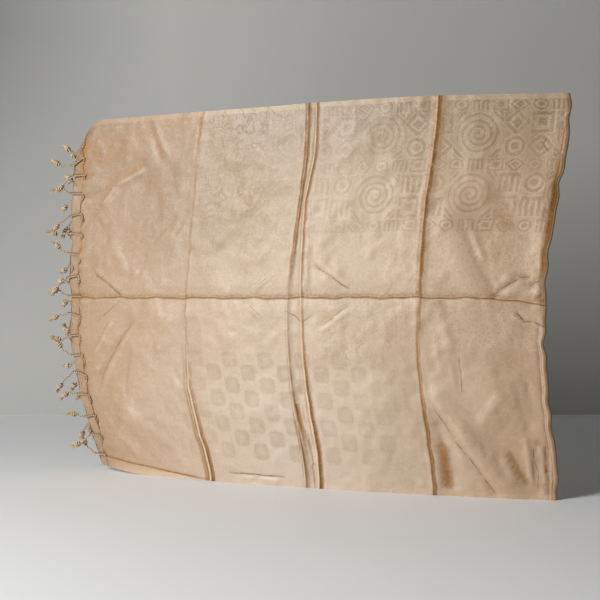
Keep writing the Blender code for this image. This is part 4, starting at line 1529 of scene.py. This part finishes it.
# %% The finish of one face
def cloth_finish(name, lines, figure_depth, ground=SILK, figure_shade=FIGURE_SHADE):
    """A material for one face of the silk. figure_depth is how strongly the figure shows."""
    material, f, shader = new_finish(name)
    cut = f.add("ShaderNodeUVMap", uv_map="cut").outputs[0]
    chart = f.group(damask, Cut=cut)
    painted_shading = f.add("ShaderNodeAttribute", attribute_name="painted_shading").outputs["Fac"]
    cloudy = f.noise(cut, 9.0, 4.0, 0.62)
    run, height, _ = f.split(cut)
    run = f.size(run)
    figure, rim = figure_in_painted_sheen(f, chart, run, cloudy, figure_depth)
    threads = f.group(weave, Cut=cut, Figure=figure)

    ground = ground_with_painted_light(f, run, height, ground)
    tone = f.sum(f.slope(cloudy, 0.9, -0.45), f.slope(threads["Slub"], 1.1, -0.55))
    scribbles = f.away(f.noise(cut, 85.0), 0.5)
    veins = f.below(f.away(f.noise(cut, 24.0, 5.0, 0.62), 0.5), 0.008, 0.012)
    creased = f.ramp(f.noise(cut, 6.0), 3.2, -1.30)
    # Over the ground: the figure; its pale rim, partly a painted highlight; the selvedge; random tone;
    # painted shade in creases and folds in three steps; a painted highlight on crests; pale flecks; and
    # painted shade along fine crinkles.
    colour = f.layers(
        ground, (figure, f.vector("MULTIPLY", ground, figure_shade)), (rim, SILK_LIGHT_AND_PALE),
        (f.both(chart["Selvedge"], 0.28), SILK_SELVEDGE),
        (f.math("MULTIPLY", tone, 0.55, clamp=True), SILK_DARK_TONE_AND_SHADE),
        (f.math("MULTIPLY", tone, -0.45, clamp=True), SILK_LIGHT_AND_PALE),
        (f.ramp(painted_shading, 2.2, -0.02), SILK_SHADE), (f.ramp(painted_shading, 2.0, -0.34), SILK_CREASE_SHADE),
        (f.ramp(painted_shading, 1.6, -0.92), SILK_CREASE_CORE_SHADE), (f.ramp(painted_shading, -1.10, -0.05), SILK_LIGHT_AND_PALE),
        (f.both(f.below(scribbles, 0.010, 0.024), 0.24), SILK_LIGHT_AND_PALE),
        (f.both(veins, creased, 0.26), SILK_CREASE_SHADE))
    # Painted shade along the thin pressed lines, as a dark line.
    if lines:
        shaken = f.shaken(cut, 45.0, SHAKE)
        drawn = [f.group(press, Cut=shaken, From=(a, b, 0.0), To=(c, d, 0.0), Width=width)[0]
                 for a, b, c, d, width in lines]
        colour = f.blend(f.math("MULTIPLY", f.most(*drawn), 1.25, clamp=True), colour, SILK_THIN_LINE_SHADE)
    f.feed(shader.inputs["Base Color"], colour)
    f.feed(shader.inputs["Roughness"], f.sum(f.both(figure, 0.12), f.both(threads["Slub"], 0.14), 0.40))

    slack = loose(f, run)
    slanted = f.fed("ShaderNodeMapping", 0, Vector=cut, Rotation=(0.0, 0.0, 0.9), Scale=(0.42, 1.0, 1.0))
    crumple = f.both(f.noise(slanted, 46.0, 3.0, 0.55), f.slope(slack, 0.50, 0.36))
    ridged = f.both(f.away(f.noise(cut, 27.0, 3.0), 0.5), f.slope(slack, -0.95, -0.50))
    relief = f.sum(f.both(threads["Height"], 0.030), f.both(f.noise(cut, 160.0, 3.0, 0.6), 0.26),
                   f.both(scribbles, -0.40), crumple, ridged, f.both(veins, creased, -0.30))
    f.feed(shader.inputs["Normal"], f.bump(relief, 0.9, 0.001))
    shader.inputs["Specular IOR Level"].default_value = 0.70
    shader.inputs["Sheen Weight"].default_value = 0.12
    shader.inputs["Sheen Roughness"].default_value = 0.35
    shader.inputs["Sheen Tint"].default_value = (1.0, 0.94, 0.86, 1.0)
    print(name, "has", len(material.node_tree.nodes), "nodes")
    return material


# %% Silk on both leaves
front_face = cloth_finish("silk damask, front", SHADED_CREASE_LINES, 1.0)
back_face = cloth_finish("silk damask, back", (), 1.0)
reverse = cloth_finish("silk damask, reverse", (), 0.8, SILK_REVERSE, REVERSE_FIGURE_SHADE)
for leaf, face in ((front_leaf, front_face), (back_leaf, back_face)):
    leaf.data.materials[0], leaf.data.materials[1] = face, reverse
    print(leaf.name, "faces with each finish:", np.bincount(
        [face.material_index for face in leaf.data.polygons]))

# %% [markdown]
# The fringe is the same silk, but its threads are bare and matt. Fine noise stretched along the
# yarn would need a map on every ply, so an even fine noise in the room's own measure is used, at
# the scale of single fibres, with a slow change of tone from tassel to tassel. The second yarn,
# dark brown, is painted shade on the cords, knots, tufts and edge.


# %% Fringe yarn
def yarn_finish(name, pale, golden, gaps):
    material, f, shader = new_finish(name)
    here = f.add("ShaderNodeTexCoord").outputs["Object"]
    fibres = f.noise(here, 1900.0, 3.0, 0.6)
    slow = f.noise(here, 28.0)
    f.feed(shader.inputs["Base Color"], f.layers(
        golden, (f.ramp(slow, 1.6, -0.3), pale), (f.ramp(fibres, 1.8, -0.75), gaps)))
    f.feed(shader.inputs["Roughness"], f.slope(fibres, 0.3, 0.45))
    f.feed(shader.inputs["Normal"], f.bump(fibres, 0.6, 0.0003))
    shader.inputs["Sheen Weight"].default_value = 0.25
    return material


yarn = yarn_finish("silk yarn of the fringe", (0.690, 0.540, 0.360, 1.0), (0.540, 0.390, 0.215, 1.0),
                   (0.240, 0.130, 0.055, 1.0))
# The second yarn is painted shade on the fringe.
shade_yarn = yarn_finish("dark yarn painted as shade", (0.270, 0.155, 0.070, 1.0), (0.180, 0.092, 0.036, 1.0),
                     (0.090, 0.045, 0.020, 1.0))
for piece in fringes.values():
    piece.data.materials[0], piece.data.materials[1] = yarn, shade_yarn
print("yarn on", list(fringes))

# %% [markdown]
# The studio is a pale floor that meets a plain grey wall well behind the stole, one large soft
# light from the left, and a weak fill from the sky. The stole stands in the light's way, so the
# wall and floor to its right are left in its long soft shadow. A wall is seldom lit evenly, so
# painted shade darkens the wall a little up and to the left.

# %% Floor and wall
WALL_DISTANCE = 3.55         # in front of the camera
STAGE_HALF, FLOOR_DEPTH, WALL_HEIGHT = 6, 8, 4
SHADED = (0.02, 0.02, 0.02, 1.0)


def stage_plane(name, corners, colour, rough, shade=0.0):
    piece = mesh_piece(name, corners, [(0, 1, 2, 3)])
    material, f, shader = new_finish(name)
    here = f.add("ShaderNodeTexCoord").outputs["Object"]
    mottled = f.noise(here, 1.3, 3.0)
    darker = tuple(channel * 0.92 for channel in colour[:3]) + (1.0,)
    x, _, z = f.split(here)
    # Painted shade: the wall's colour goes darker up and to the left.
    away = f.both(f.ramp(x, -shade, -0.76 * shade), f.ramp(z, 1.1, -0.2))
    f.feed(shader.inputs["Base Color"], f.blend(away, f.blend(mottled, colour, darker), SHADED))
    f.feed(shader.inputs["Roughness"], f.slope(mottled, 0.1, rough))
    from_behind = f.add("ShaderNodeMixShader", f.add("ShaderNodeNewGeometry").outputs["Backfacing"],
                        shader.outputs[0], f.add("ShaderNodeBsdfTransparent").outputs[0])
    f.feed(material.node_tree.nodes["Material Output"].inputs[0], from_behind.outputs[0])
    piece.data.materials.append(material)


turn = math.radians(CAMERA_TURN)
ahead, right = Vector((-math.sin(turn), math.cos(turn), 0)), Vector((math.cos(turn), math.sin(turn), 0))
foot = Vector(CAMERA_PLACE) + ahead * WALL_DISTANCE
foot.z = 0.0
ends = [foot - right * STAGE_HALF, foot + right * STAGE_HALF]
near = [end - ahead * FLOOR_DEPTH for end in ends]
top = [end + Vector((0, 0, WALL_HEIGHT)) for end in ends]
stage_plane("floor", [near[0], near[1], ends[1], ends[0]], (0.88, 0.90, 0.915, 1.0), 0.6)
stage_plane("wall", [ends[0], ends[1], top[1], top[0]], (0.47, 0.47, 0.455, 1.0), 0.8, shade=1.10)
print("wall", WALL_DISTANCE, "m from the camera")

# %% Key light and fill
KEY_PLACE, KEY_AIM, KEY_SIZE, KEY_WATTS = (-1.25, -2.70, 1.40), (0.35, -0.30, 0.50), (1.0, 1.8), 124.0
KEY_COLOUR, FILL_COLOUR, FILL_STRENGTH = (1.0, 0.99, 0.97), (1.0, 0.97, 0.93, 1.0), 0.065

key = bpy.data.lights.new("key", "AREA")
key.shape, key.energy, key.color = "RECTANGLE", KEY_WATTS, KEY_COLOUR
key.size, key.size_y = KEY_SIZE
key_light = bpy.data.objects.new("key", key)
key_light.location = KEY_PLACE
key_light.rotation_euler = (Vector(KEY_AIM) - Vector(KEY_PLACE)).to_track_quat("-Z", "Y").to_euler()
bpy.context.scene.collection.objects.link(key_light)

world = bpy.data.worlds.new("fill")
bpy.context.scene.world = world
world.use_nodes = True
fill = world.node_tree.nodes["Background"].inputs
fill[0].default_value, fill[1].default_value = FILL_COLOUR, FILL_STRENGTH
bpy.context.scene.view_settings.view_transform = "Standard"
print("key light", KEY_WATTS, "W, fill", FILL_STRENGTH)

# %% [markdown]
# Last, each piece is parented to the model's root body, and the solid that it stands for is
# hidden.

# %% Tie the pieces to the model
for piece, node, slot in ((front_leaf, "stole_front_layer", "stole_cloth"),
                          (back_leaf, "stole_back_layer", "stole_cloth"),
                          (fringes["front_fringe_yarn"], "front_fringe", "fringe_yarn"),
                          (fringes["back_fringe_yarn"], "back_fringe", "fringe_yarn")):
    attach(piece, "root")
    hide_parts(node)

print("solid box ", np.round(cad_box, 4).tolist())
